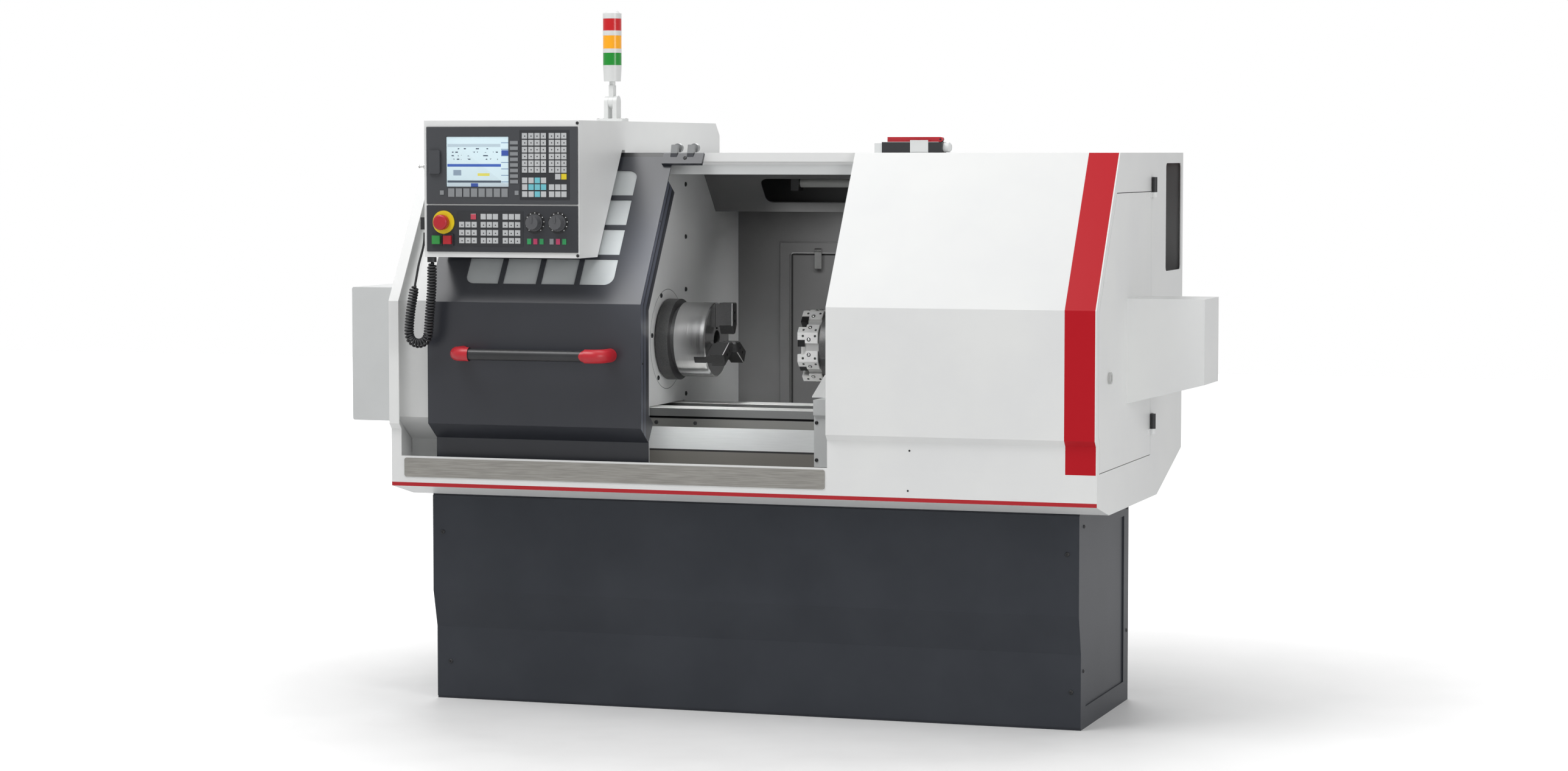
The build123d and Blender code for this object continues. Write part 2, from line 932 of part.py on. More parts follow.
def make_door_rollers():
    """Bracket at the door's top corner with two rollers that run on the rail."""
    line = [(lean_y(bracket_low_z), bracket_low_z), (lean_y(bracket_high_z), bracket_high_z)]
    left = door_right_x - bracket_lap
    right = left + bracket_length
    outer = folded(moved(line, -bracket_gap), -bracket_thick)
    hanger = prism_x(outer, left, right)
    hanger += prism_x(folded(line, -bracket_gap), left, door_right_x - sheet)
    roller_z = roof_z + running_gap + roller / 2
    lug_z = (bracket_low_z + bracket_high_z) / 2
    lug_y = roof_front_y - 2 * bracket_gap
    lug = [
        (lean_y(lug_z) - 2 * bracket_gap, lug_z),
        (lug_y, roof_z),
        (lug_y, roller_z + axle),
        (lug_y - bracket_thick, roller_z + axle),
        (lean_y(lug_z) - bracket_thick, lug_z),
    ]
    for x in (left + roller_inset, left + roller_inset + roller_spread):
        hanger += prism_x(lug, x - axle, x + axle)
        hanger += rod_y(axle, x, lug_y - bracket_thick / 2, rail_front_y + roller_width, roller_z)
        hanger += rod_y(roller, x, rail_front_y, rail_front_y + roller_width, roller_z)
    return hanger


# Console

def console_outline():
    """Side outline of the console: a wedge over the door, with the head's top cover behind it."""
    low_y = lean_y(console_low_z) - door_clearance
    high_y = lean_y(overhang_z) - door_clearance
    return [
        (console_front_y, console_low_z),
        (console_front_y, console_top_z),
        (head_back_y - head_chamfer, console_top_z),
        (head_back_y, console_top_z - head_chamfer),
        (head_back_y, roof_z),
        (rail_front_y, roof_z),
        (rail_front_y, overhang_z),
        (high_y, overhang_z),
        (low_y, console_low_z),
    ]


def make_console_housing():
    """Folded housing with pockets for the two units on its front."""
    housing = prism_x(console_outline(), console_left_x, console_right_x)
    for low_z, height in ((unit_low_z, unit_height), (panel_low_z, panel_height)):
        housing -= block(
            unit_left_x - pocket_gap, unit_left_x + unit_width + pocket_gap,
            console_front_y - overrun, console_front_y + unit_depth + pocket_gap,
            low_z - pocket_gap, low_z + height + pocket_gap,
        )
    return housing


def unit_x(share):
    """X of a place across the control unit or the machine panel."""
    return unit_left_x + unit_width * share


def panel_place(shares):
    """X and Z of a place on the machine panel."""
    return unit_x(shares[0]), panel_low_z + panel_height * shares[1]


def make_control_unit():
    """Control unit with a sunk screen and a sunk port beside it."""
    unit = block(
        unit_left_x, unit_left_x + unit_width, face_y, console_front_y + unit_depth,
        unit_low_z, unit_low_z + unit_height,
    )
    left = unit_x(screen_left_share)
    low = unit_low_z + unit_height * screen_low_share
    unit -= block(
        left, left + unit_width * screen_width_share, face_y - overrun, face_y + screen_depth,
        low, low + unit_height * screen_height_share,
    )
    return unit


def make_machine_panel():
    """Machine panel with the emergency stop's collar, two button bezels and holes for the stems."""
    panel = block(
        unit_left_x, unit_left_x + unit_width, face_y, console_front_y + unit_depth,
        panel_low_z, panel_low_z + panel_height,
    )
    x, z = panel_place(estop_share)
    panel += rod_y(estop_plate, x, face_y - estop_plate_thick, face_y, z)
    near_y = face_y - overrun - estop_plate_thick
    panel -= rod_y(estop_neck + 2 * running_gap, x, near_y, face_y + unit_depth / 2, z)
    hole = button_size / 2 + running_gap
    bezel = button_bezel / 2
    for share in (start_share, stop_share):
        x, z = panel_place(share)
        panel += block(x - bezel, x + bezel, face_y - button_bezel_height, face_y, z - bezel, z + bezel)
        near_y = face_y - overrun - button_bezel_height
        panel -= block(x - hole, x + hole, near_y, face_y + unit_depth / 2, z - hole, z + hole)
    for share in (feed_knob_share, speed_knob_share):
        x, z = panel_place(share)
        panel -= rod_y(stem + 2 * running_gap, x, face_y - overrun, face_y + unit_depth / 2, z)
    return panel


def keys_at(places, width, height, y):
    """Raised keys, each with its middle at one of the (x, z) places."""
    plane = Plane((0, y, 0), x_dir=(1, 0, 0), z_dir=(0, -1, 0))
    sketch = Sketch() + [Pos(x, z) * Rectangle(width, height) for x, z in places]
    return extrude(plane * sketch, key_height)


def make_key_mats():
    """Two key mats, one for each unit, with all the keys raised on them."""
    mat_y = face_y - key_mat_thick

    def unit_grid(columns, rows):
        return [(unit_x(c), unit_low_z + unit_height * r) for r in rows for c in columns]

    def panel_grid(columns, rows):
        return [(unit_x(c), panel_low_z + panel_height * r) for r in rows for c in columns]

    keys = unit_grid((*letter_column_shares, *number_column_shares), key_row_shares)
    keys += unit_grid(letter_column_shares, arrow_row_shares)
    keys += unit_grid(number_column_shares, low_row_shares)
    keys += [(unit_x(c), unit_low_z + unit_height * r) for c, r in corner_key_shares]
    half = key_size
    left = unit_x(letter_column_shares[0]) - half
    right = unit_x(number_column_shares[-1]) + half
    low = unit_low_z + unit_height * arrow_row_shares[-1] - half
    high = unit_low_z + unit_height * key_row_shares[0] + half
    upper = block(left, right, mat_y, face_y, low, high) + keys_at(keys, key_size, key_size, mat_y)
    keys = panel_grid(mode_column_shares, panel_row_shares[1:])
    keys += panel_grid((*axis_column_shares, *feed_column_shares), panel_row_shares)
    keys += panel_grid((mode_top_key_share,), panel_row_shares[:1])
    left = unit_x(mode_column_shares[0]) - half
    right = unit_x(feed_column_shares[-1]) + half
    low = panel_low_z + panel_height * panel_row_shares[-1] - half
    high = panel_low_z + panel_height * panel_row_shares[0] + half
    lower = block(left, right, mat_y, face_y, low, high) + keys_at(keys, key_size, key_size, mat_y)
    soft = [
        (unit_x(soft_key_first_share + i * soft_key_step_share),
         unit_low_z + unit_height * soft_key_row_share)
        for i in range(soft_key_count)
    ]
    loose = [
        keys_at(soft, key_wide, key_tall, face_y),
        keys_at(unit_grid((side_key_share,), side_key_row_shares), key_tall, side_key_height, face_y),
        keys_at(unit_grid(end_key_shares, (soft_key_row_share,)), small_key, small_key, face_y),
        keys_at(panel_grid(small_key_shares, (small_key_row_share,)), small_key, key_size, face_y),
    ]
    return [upper, lower, *loose]


def make_port_flap():
    """Small cover over the port at the unit's left, round along the edge that it turns on."""
    radius = flap_thick / 2
    left = unit_x(flap_left_share) + radius
    right = left - radius + unit_width * flap_width_share
    low = unit_low_z + unit_height * flap_low_share
    high = low + unit_height * flap_height_share
    near_y, far_y = face_y - running_gap - flap_thick, face_y - running_gap
    flap = plate_y(left, right, low, high, stem / 2, near_y, far_y)
    flap += block(left, (left + right) / 2, near_y, far_y, low, high)
    return flap + rod_z(flap_thick, left, near_y + radius, low, high)


def make_estop_button():
    """Mushroom head on its stem."""
    x, z = panel_place(estop_share)
    tip_y = console_front_y - estop_height
    head_y = face_y - estop_plate_thick - estop_travel - running_gap
    button = fillet(rod_y(estop_head, x, tip_y, head_y, z).edges().group_by(Axis.Y)[0], estop_travel)
    return button + rod_y(estop_neck, x, head_y, face_y + overrun, z)


def make_push_button(share):
    """Square push button in its bezel."""
    x, z = panel_place(share)
    half = button_size / 2
    return block(x - half, x + half, face_y - button_height, face_y + overrun, z - half, z + half)


def make_knob(share):
    """Rotary switch: a skirt, a tapered grip with a pointer ridge and a stem into the panel."""
    x, z = panel_place(share)
    base_y = face_y - running_gap
    plane = Plane((x, base_y, z), x_dir=(1, 0, 0), z_dir=(0, -1, 0))
    grip = extrude(plane * Circle(knob_large / 2), knob_skirt)
    top = plane.offset(knob_height) * Circle(knob_top / 2)
    grip += loft([plane.offset(knob_skirt) * Circle(knob_top / 2 + knob_pointer / 2), top])
    tip = base_y - knob_height
    half = knob_pointer / 2
    grip += block(x - half, x + half, tip - half, tip, z, z + knob_top / 2)
    return grip + rod_y(stem, x, base_y, face_y + overrun, z)


# Signal tower

def tower_levels():
    """Heights of the tower's tiers: the body, then a lens and a ring in turn."""
    levels = [tower_body_z, tower_body_z + tower_body_height]
    for lens, ring in zip(tower_lens_heights, tower_ring_heights):
        levels += [levels[-1] + lens, levels[-1] + lens + ring]
    return levels


def make_tower_foot():
    """Screwed foot with two lugs for the knuckle and the pin across them."""
    place = Pos(tower_x, tower_y, console_top_z)
    outline = RectangleRounded(tower_foot_length, tower_foot_width, tower_foot_radius)
    foot = place * extrude(outline, tower_foot_thick)
    inner = tower_knuckle_thick / 2 + running_gap
    for x0 in (tower_x - inner - tower_lug_thick, tower_x + inner):
        foot += rod_x(tower_lug, x0, x0 + tower_lug_thick, tower_y, tower_pivot_z)
        foot += block(
            x0, x0 + tower_lug_thick, tower_y - tower_lug / 2, tower_y + tower_lug / 2,
            console_top_z + tower_foot_thick, tower_pivot_z,
        )
    foot += rod_x(tower_pin, tower_x - inner, tower_x + inner, tower_y, tower_pivot_z)
    return foot


def make_tower_body():
    """Knuckle, neck, tapered body and the rings on a core that runs up through the lenses."""
    half = tower_knuckle_thick / 2
    body = rod_x(tower_lug, tower_x - half, tower_x + half, tower_y, tower_pivot_z)
    body += block(
        tower_x - half, tower_x + half, tower_y - tower_arm / 2, tower_y + tower_arm / 2,
        tower_pivot_z, tower_neck_z,
    )
    hole = tower_pin + 2 * running_gap
    body -= rod_x(hole, tower_x - tower_arm, tower_x + tower_arm, tower_y, tower_pivot_z)
    levels = tower_levels()
    radius = tower_diameter / 2
    core = tower_core / 2
    outline = [
        (0, tower_neck_z - overrun),
        (tower_neck / 2, tower_neck_z - overrun),
        (tower_neck / 2, levels[0]),
        (tower_body_low / 2, levels[0]),
        (radius, levels[1]),
    ]
    for ring_low, ring_high in zip(levels[2::2], levels[3::2]):
        outline += [(core, outline[-1][1]), (core, ring_low), (radius, ring_low), (radius, ring_high)]
    outline[-1] = (radius, levels[-1] - tower_dome)
    outline += [(radius - tower_dome, levels[-1]), (0, levels[-1])]
    profile = Plane.XZ * make_face(Polyline(*outline, close=True))
    return body + Pos(tower_x, tower_y, 0) * revolve(profile, Axis.Z)


def make_tower_lenses():
    """Three clear rings between the tiers, from the bottom up."""
    levels = tower_levels()
    radius = tower_diameter / 2 - running_gap
    inner = tower_core / 2 + running_gap
    lenses = []
    for low, high in zip(levels[1::2], levels[2::2]):
        ring = rod_z(2 * radius, tower_x, tower_y, low, high)
        lenses.append(ring - rod_z(2 * inner, tower_x, tower_y, low - overrun, high + overrun))
    return lenses


# Curly cord

def cord_tube(name, route, diameter):
    """A tube along straight runs that are joined by tangent arcs, each as large as its runs allow."""
    points = [Vector(x, cord_y, z) for x, z in route]
    runs = [b - a for a, b in zip(points, points[1:])]
    radii = []
    for before, after in zip(runs, runs[1:]):
        half_turn = math.radians(before.get_angle(after)) / 2
        radii.append(arc_share * min(before.length, after.length) / math.tan(half_turn))
    path = FilletPolyline(*points, radius=radii)
    section = Plane(points[0], z_dir=runs[0]) * Circle(diameter / 2)
    tube = sweep(section, path)
    print(name, "radii", [round(r, 1) for r in radii], "length", round(path.length, 1))
    swept = math.pi * diameter**2 / 4 * path.length
    print(name, "volume", round(tube.volume), "section by length", round(swept))
    return tube


def make_cord_glands():
    """Round gland under the console and a clamp on its left side."""
    x, z = coil_route[0]
    end_x, end_z = lead_route[-1]
    half = clamp_depth / 2
    return [
        rod_z(gland_diameter, x, cord_y, z, console_low_z),
        block(
            console_left_x - clamp_width, console_left_x, cord_y - half, cord_y + half,
            end_z, end_z + clamp_height,
        ),
    ]


# Spindle line

def make_spindle():
    """Hollow spindle turned in one: cylinder end, belt pulley, shaft and nose flange."""
    bore = spindle_bore / 2
    shaft = spindle_diameter / 2
    pulley_right_x = pulley_x + pulley_width
    flange_right_x = nose_flange_x + nose_flange_length
    outline = [
        (spindle_rear_x, bore),
        (spindle_rear_x, cylinder_diameter / 2),
        (spindle_rear_x + cylinder_length, cylinder_diameter / 2),
        (spindle_rear_x + cylinder_length, shaft),
        (pulley_x, shaft),
        (pulley_x, spindle_pulley / 2),
        (pulley_right_x, spindle_pulley / 2),
        (pulley_right_x, shaft),
        (nose_flange_x, shaft),
        (nose_flange_x, nose_flange / 2),
        (flange_right_x, nose_flange / 2),
        (flange_right_x, nose_neck / 2),
        (chuck_x, nose_neck / 2),
        (chuck_x, bore),
    ]
    return turned(outline, spindle_y, spindle_z)


def ring_x(inner, outer, x0, x1, y, z):
    """A ring about a line along X."""
    return turned([(x0, inner / 2), (x0, outer / 2), (x1, outer / 2), (x1, inner / 2)], y, z)


def make_spindle_bearings():
    """Front and rear bearings of the spindle."""
    inner = spindle_diameter + 2 * running_gap
    return [
        ring_x(inner, bearing_outer, x, x + bearing_width, spindle_y, spindle_z)
        for x in (head_left_x, head_right_x - bearing_width)
    ]


def around_spindle(shape, angle):
    """A shape built along +Z from the spindle's axis, turned about it to an angle from +Y."""
    return Pos(0, spindle_y, spindle_z) * Rot(angle - jaw_first_angle, 0, 0) * shape


def make_chuck_body():
    """Chuck body with a guide slot for each jaw."""
    radius = chuck_diameter / 2
    bore = spindle_bore / 2
    body = turned(
        [
            (chuck_x, bore),
            (chuck_x, radius),
            (chuck_front_x - chuck_edge, radius),
            (chuck_front_x, radius - chuck_edge),
            (chuck_front_x, bore),
        ],
        spindle_y, spindle_z,
    )
    half = jaw_tongue / 2 + jaw_slot_gap
    slot = block(
        chuck_front_x - jaw_tongue_depth, chuck_front_x + overrun, -half, half,
        bore + chuck_edge, radius + overrun,
    )
    for angle in jaw_angles():
        body -= around_spindle(slot, angle)
    return body


def jaw_angles():
    """Angles of the jaws about the spindle, from +Y towards +Z."""
    return [jaw_first_angle + i * 360 / jaw_count for i in range(jaw_count)]


def make_chuck_jaw(angle):
    """Master jaw with its tongue in the chuck's slot, and a pointed top jaw with two bolt holes on it."""
    back_x = chuck_front_x + jaw_slot_gap
    top_x = back_x + master_length
    front_x = top_x + jaw_length
    half = jaw_width / 2
    nose = [
        (-half, jaw_outer),
        (-half, jaw_inner + jaw_nose),
        (-jaw_tip / 2, jaw_inner),
        (jaw_tip / 2, jaw_inner),
        (half, jaw_inner + jaw_nose),
        (half, jaw_outer),
    ]
    top = prism_x(nose, top_x, front_x)
    top = chamfer(top.faces().sort_by(Axis.X)[-1].edges(), jaw_edge)
    for radius in jaw_bolt_radii:
        top -= Pos(front_x - jaw_bolt_depth, 0, radius) * rod_x(jaw_bolt, 0, jaw_length, 0, 0)
    guide = jaw_tongue / 2
    master = master_width / 2
    jaw = top + block(back_x, top_x, -master, master, master_inner, jaw_outer - jaw_edge)
    tongue_x = chuck_front_x - jaw_tongue_depth + jaw_slot_gap
    jaw += block(tongue_x, back_x, -guide, guide, master_inner, jaw_outer - jaw_edge)
    return around_spindle(jaw, angle)


# Headstock, motor and belt

def make_headstock_casting():
    """Casting on the bed with the bearing seats, and a plate behind it for the motor."""
    top_z = spindle_z + bearing_outer / 2 + head_shoulder + head_wall
    outline = [
        (bed_front_y, bed_top_z),
        (bed_front_y, top_z - head_shoulder),
        (bed_front_y + head_shoulder, top_z),
        (bed_back_y - head_shoulder, top_z),
        (bed_back_y, top_z - head_shoulder),
        (bed_back_y, bed_top_z),
    ]
    casting = prism_x(outline, head_left_x, head_right_x)
    left = head_left_x - overrun
    casting -= rod_x(bearing_outer - head_wall, left, head_right_x + overrun, spindle_y, spindle_z)
    for x in (head_left_x, head_right_x - bearing_width):
        casting -= rod_x(bearing_outer, x, x + bearing_width, spindle_y, spindle_z)
    casting += block(
        head_left_x, head_left_x + bracket_plate, bed_back_y, bracket_plate_back_y,
        bracket_plate_low_z, bracket_plate_high_z,
    )
    hole = motor_shaft + head_wall
    casting -= rod_x(hole, head_left_x - overrun, head_left_x + bracket_plate + overrun, motor_y, motor_z)
    return casting


def make_main_motor():
    """Finned motor on the headstock's rear plate."""
    face_x = head_left_x + bracket_plate
    body_x = face_x + motor_flange_thick
    half = motor_flange / 2
    motor = block(face_x, body_x, motor_y - half, motor_y + half, motor_z - half, motor_z + half)
    motor += rod_x(motor_diameter, body_x, face_x + motor_length, motor_y, motor_z)
    groove = block(
        body_x + motor_flange_thick, face_x + motor_length - motor_flange_thick,
        -motor_fin_width / 2, motor_fin_width / 2,
        motor_diameter / 2 - motor_fin_depth, motor_diameter / 2 + overrun,
    )
    grooves = [Rot(i * 360 / motor_fin_count, 0, 0) * groove for i in range(motor_fin_count)]
    return motor - Pos(0, motor_y, motor_z) * Compound(grooves)


def make_motor_pulley():
    """Motor shaft with its pulley."""
    shaft = rod_x(motor_shaft, pulley_x, head_left_x + bracket_plate - running_gap, motor_y, motor_z)
    return shaft + rod_x(motor_pulley_diameter, pulley_x, pulley_x + pulley_width, motor_y, motor_z)


def belt_loop(extra):
    """The loop round both pulleys, moved out by a distance."""
    rounds = Pos(spindle_y, spindle_z) * Circle(spindle_pulley / 2 + extra)
    rounds += Pos(motor_y, motor_z) * Circle(motor_pulley_diameter / 2 + extra)
    return Plane.YZ * make_hull(rounds.edges())


def make_drive_belt():
    """Belt from the motor pulley to the spindle pulley."""
    width = pulley_width - 2 * belt_margin
    ring = belt_loop(running_gap + belt_thick) - belt_loop(running_gap)
    return extrude(Pos(pulley_x + belt_margin, 0, 0) * ring, width, dir=(1, 0, 0))


# Bed, carriage and turret

def make_bed():
    """Flat bed with two ways, a gully between them, and bearing blocks for the feed screw behind."""
    outline = [
        (bed_front_y, tray_floor_z),
        (bed_front_y, groove_low_z),
        (bed_front_y + groove_depth, groove_low_z),
        (bed_front_y + groove_depth, groove_high_z),
        (bed_front_y, groove_high_z),
        (bed_front_y, bed_top_z),
        (bed_front_y + way_width, bed_top_z),
        (bed_front_y + way_width, gully_z),
        (bed_back_y - way_width, gully_z),
        (bed_back_y - way_width, bed_top_z),
        (bed_back_y, bed_top_z),
        (bed_back_y, tray_floor_z),
    ]
    bed = prism_x(outline, head_left_x, bed_right_x)
    half = screw_block_width / 2
    for x in screw_block_places():
        bed += block(
            x, x + screw_block, bed_back_y, feed_screw_y + half, feed_screw_z - half, feed_screw_z + half
        )
        hole = screw_end + 2 * running_gap
        bed -= rod_x(hole, x - overrun, x + screw_block + overrun, feed_screw_y, feed_screw_z)
    return bed


def screw_block_places():
    """Left sides of the two bearing blocks of the feed screw."""
    return inner_wall_x + screw_block, bed_right_x - screw_block


def make_feed_screw():
    """Ball screw with turned-down ends."""
    left, right = screw_block_places()
    outline = [
        (left, 0),
        (left, screw_end / 2),
        (left + screw_block + running_gap, screw_end / 2),
        (left + screw_block + running_gap, feed_screw_diameter / 2),
        (right - running_gap, feed_screw_diameter / 2),
        (right - running_gap, screw_end / 2),
        (right + screw_block, screw_end / 2),
        (right + screw_block, 0),
    ]
    return turned(outline, feed_screw_y, feed_screw_z)


def make_carriage():
    """Saddle over both ways, with the apron in front and the nut block behind."""
    low_z = bed_top_z + running_gap
    saddle = block(
        carriage_left_x, carriage_right_x, carriage_front_y, carriage_back_y, low_z, carriage_top_z
    )
    saddle += block(
        carriage_left_x, carriage_right_x, carriage_front_y, bed_front_y - apron_gap, apron_lip_z, low_z
    )
    saddle += block(
        carriage_left_x, carriage_right_x, carriage_front_y + apron_lip, bed_front_y - apron_gap,
        apron_low_z, apron_lip_z,
    )
    middle_x = (carriage_left_x + carriage_right_x) / 2
    saddle += block(
        middle_x - nut_block_length / 2, middle_x + nut_block_length / 2,
        bed_back_y + apron_gap, nut_block_back_y, nut_block_low_z, low_z,
    )
    hole = feed_screw_diameter + 2 * running_gap
    saddle -= rod_x(hole, carriage_left_x, carriage_right_x, feed_screw_y, feed_screw_z)
    return saddle


def make_cross_slide():
    """Cross slide on the saddle with a slanted cover down its left side."""
    low_z = carriage_top_z + running_gap
    left = carriage_left_x + cross_inset
    slide = block(
        left, carriage_right_x - cross_inset, cross_front_y, cross_back_y, low_z, low_z + cross_thick
    )
    cover = [
        (slant_foot_x, low_z),
        (slant_foot_x, low_z + sheet),
        (slant_top_x, slant_top_z),
        (left + sheet, slant_top_z),
        (left + sheet, low_z),
    ]
    slide += prism_y(cover, slant_front_y, slant_back_y)
    return slide


def make_turret_housing():
    """Turret housing on the cross slide with the dark ring behind the disc."""
    low_z = carriage_top_z + running_gap + cross_thick
    half = turret_post_width / 2
    cut = turret_post_chamfer
    outline = [
        (turret_y - half, low_z),
        (turret_y - half, turret_post_top_z - cut),
        (turret_y - half + cut, turret_post_top_z),
        (turret_y + half - cut, turret_post_top_z),
        (turret_y + half, turret_post_top_z - cut),
        (turret_y + half, low_z),
    ]
    clear_x = slant_top_x + turret_post_gap
    post = prism_x(outline, clear_x, clear_x + turret_post_length)
    post += rod_x(turret_ring, turret_back_x + turret_gap, clear_x, turret_y, turret_z)
    return post


def make_turret_disc():
    """Eight-sided tool disc, each side with a valley across it and a tool pocket with a wedge at its left."""
    face = RegularPolygon(turret_flats / 2, turret_sides, major_radius=False, rotation=180 / turret_sides)
    disc = extrude(Pos(turret_x, turret_y, turret_z) * (Plane.YZ * face), turret_length, dir=(1, 0, 0))
    disc = chamfer(disc.faces().sort_by(Axis.X)[-1].edges(), turret_edge)
    outer = turret_flats / 2
    pocket_x = turret_x + pocket_length
    valley = block(
        turret_x - overrun, turret_x + turret_length + overrun, -valley_width / 2, valley_width / 2,
        outer - valley_depth, outer + overrun,
    )
    pocket = block(
        turret_x - overrun, pocket_x, -pocket_width / 2, pocket_width / 2,
        outer - pocket_depth, outer + overrun,
    )
    wedge = block(
        turret_x, pocket_x, pocket_width / 2 - wedge_width, pocket_width / 2,
        outer - pocket_depth, outer - wedge_inset,
    )
    centre = Pos(0, turret_y, turret_z)
    for i in range(turret_sides):
        turn = centre * Rot(i * 360 / turret_sides, 0, 0)
        disc -= turn * (valley + pocket)
        disc += turn * wedge
    disc -= rod_x(turret_hub, turret_x - overrun, turret_x + turret_hub_depth, turret_y, turret_z)
    return disc


# Tailstock

def make_tailstock_body():
    """Foot on the ways, neck and bored barrel."""
    low_z = bed_top_z + running_gap
    right = tail_left_x + tail_length
    body = block(tail_left_x, right, bed_front_y, bed_back_y, low_z, low_z + tail_foot_height)
    neck = [
        (bed_front_y + way_width / 2, low_z + tail_foot_height),
        (spindle_y - tail_neck / 2, spindle_z),
        (spindle_y + tail_neck / 2, spindle_z),
        (bed_back_y - way_width / 2, low_z + tail_foot_height),
    ]
    body += prism_x(neck, tail_left_x, right)
    body += rod_x(tail_barrel, tail_left_x, right, spindle_y, spindle_z)
    hole = quill_diameter + 2 * running_gap
    body -= rod_x(hole, tail_left_x - overrun, right + overrun, spindle_y, spindle_z)
    return body


def make_tailstock_quill():
    """Quill with a taper bored into its nose."""
    taper_end_x = quill_nose_x + quill_taper_depth
    outline = [
        (quill_nose_x, quill_taper_large / 2),
        (quill_nose_x, quill_diameter / 2),
        (quill_nose_x + quill_length, quill_diameter / 2),
        (quill_nose_x + quill_length, 0),
        (taper_end_x, 0),
        (taper_end_x, quill_taper_small / 2),
    ]
    return turned(outline, spindle_y, spindle_z)


def make_tailstock_handwheel():
    """Spoked handwheel with a crank handle, on a hub that plugs into the barrel."""
    hub_x = tail_left_x + tail_length + wheel_gap
    rim = wheel_diameter - 2 * wheel_rim
    wheel = ring_x(rim, wheel_diameter, hub_x, hub_x + wheel_rim, spindle_y, spindle_z)
    wheel += rod_x(wheel_hub, hub_x, hub_x + wheel_rim, spindle_y, spindle_z)
    for angle in (0, 120, 240):
        half = wheel_spoke / 2
        spoke = block(hub_x, hub_x + wheel_rim, -half, half, 0, rim / 2 + half)
        wheel += Pos(0, spindle_y, spindle_z) * Rot(angle, 0, 0) * spoke
    wheel += rod_x(quill_diameter, hub_x - wheel_rim, hub_x, spindle_y, spindle_z)
    handle_place = spindle_z + (wheel_diameter - wheel_rim) / 2
    grip_x = hub_x + wheel_rim
    grip_z = handle_place - wheel_handle / 2
    wheel += rod_x(wheel_handle, grip_x, grip_x + wheel_handle_length, spindle_y, grip_z)
    return wheel


# End boxes, side door, hatch and small fittings

def make_spindle_end_cover():
    """Box over the spindle's rear end, open towards the end wall."""
    outer_x = left_x - left_box_length
    box = block(outer_x, left_x, left_box_front_y, left_box_back_y, left_box_low_z, left_box_high_z)
    box = fillet(box.faces().sort_by(Axis.X)[0].edges(), left_box_radius)
    return box - block(
        outer_x + sheet, left_x + overrun, left_box_front_y + sheet, left_box_back_y - sheet,
        left_box_low_z + sheet, left_box_high_z - sheet,
    )


def hinge_axis_x():
    """X of the side door's hinge axis, just outside the wall."""
    return right_x + hinge_axis_out


def hinge_split_z(low_z):
    """Height at which a hinge changes from the door's knuckle to the wall's barrel."""
    return low_z + hinge_height * hinge_knuckle_share


def make_side_door():
    """Flush door with the clearance box welded on and a knuckle at each hinge."""
    door = prism_x(side_door_outline(), inner_right_x, right_x)
    outer_x = right_x + right_box_length
    shell = [
        (right_x, right_box_low_z),
        (outer_x, right_box_low_z + right_box_rise),
        (outer_x, right_box_high_z),
        (right_x, right_box_high_z),
    ]
    door += prism_y(shell, right_box_front_y, right_box_back_y)
    inside = [
        (inner_right_x - overrun, right_box_low_z + sheet),
        (right_x, right_box_low_z + sheet),
        (outer_x - sheet, right_box_low_z + right_box_rise + sheet),
        (outer_x - sheet, right_box_high_z - sheet),
        (inner_right_x - overrun, right_box_high_z - sheet),
    ]
    door -= prism_y(inside, right_box_front_y + sheet, right_box_back_y - sheet)
    door -= rod_x(lock_stem + 2 * running_gap, inner_right_x - overrun, right_x + overrun, lock_y, lock_z)
    for low_z in (hinge_low_z, hinge_high_z):
        top_z = hinge_split_z(low_z)
        door += block(right_x, right_x + hinge_leaf_thick, hinge_y - hinge_leaf, hinge_y, low_z, top_z)
        door += rod_z(hinge_barrel, hinge_axis_x(), hinge_y, low_z, top_z)
        door -= rod_z(hinge_pin + 2 * running_gap, hinge_axis_x(), hinge_y, low_z - overrun, top_z + overrun)
    return door


def make_side_door_hinges():
    """Wall halves of the two hinges, each with its pin."""
    hinges = []
    for low_z in (hinge_low_z, hinge_high_z):
        split_z = hinge_split_z(low_z) + running_gap
        top_z = low_z + hinge_height
        near_y = hinge_y + hinge_barrel / 2 + running_gap
        half = block(right_x, right_x + hinge_leaf_thick, near_y, hinge_y + hinge_leaf, low_z, top_z)
        half += block(right_x, hinge_axis_x(), hinge_y + seam_gap, near_y + hinge_leaf_thick, split_z, top_z)
        half += rod_z(hinge_barrel, hinge_axis_x(), hinge_y, split_z, top_z)
        half += rod_z(hinge_pin, hinge_axis_x(), hinge_y, low_z, split_z)
        hinges.append(half)
    return hinges


def make_side_door_lock():
    """Round lock with a cam behind the door."""
    inner_x = inner_right_x - lock_cam_gap
    lock = rod_x(lock_diameter, right_x + running_gap, right_x + lock_head, lock_y, lock_z)
    lock += rod_x(lock_stem, inner_x - lock_cam_gap, right_x + running_gap, lock_y, lock_z)
    lock += block(
        inner_x - lock_cam_gap, inner_x, lock_y - lock_cam_length, lock_y,
        lock_z - lock_cam_width / 2, lock_z + lock_cam_width / 2,
    )
    half = lock_cam_width / 2
    slot_x = right_x + lock_head
    thin = hinge_leaf_thick / 2
    return lock - block(
        slot_x - thin, slot_x + overrun, lock_y - thin, lock_y + thin, lock_z - half, lock_z + half
    )


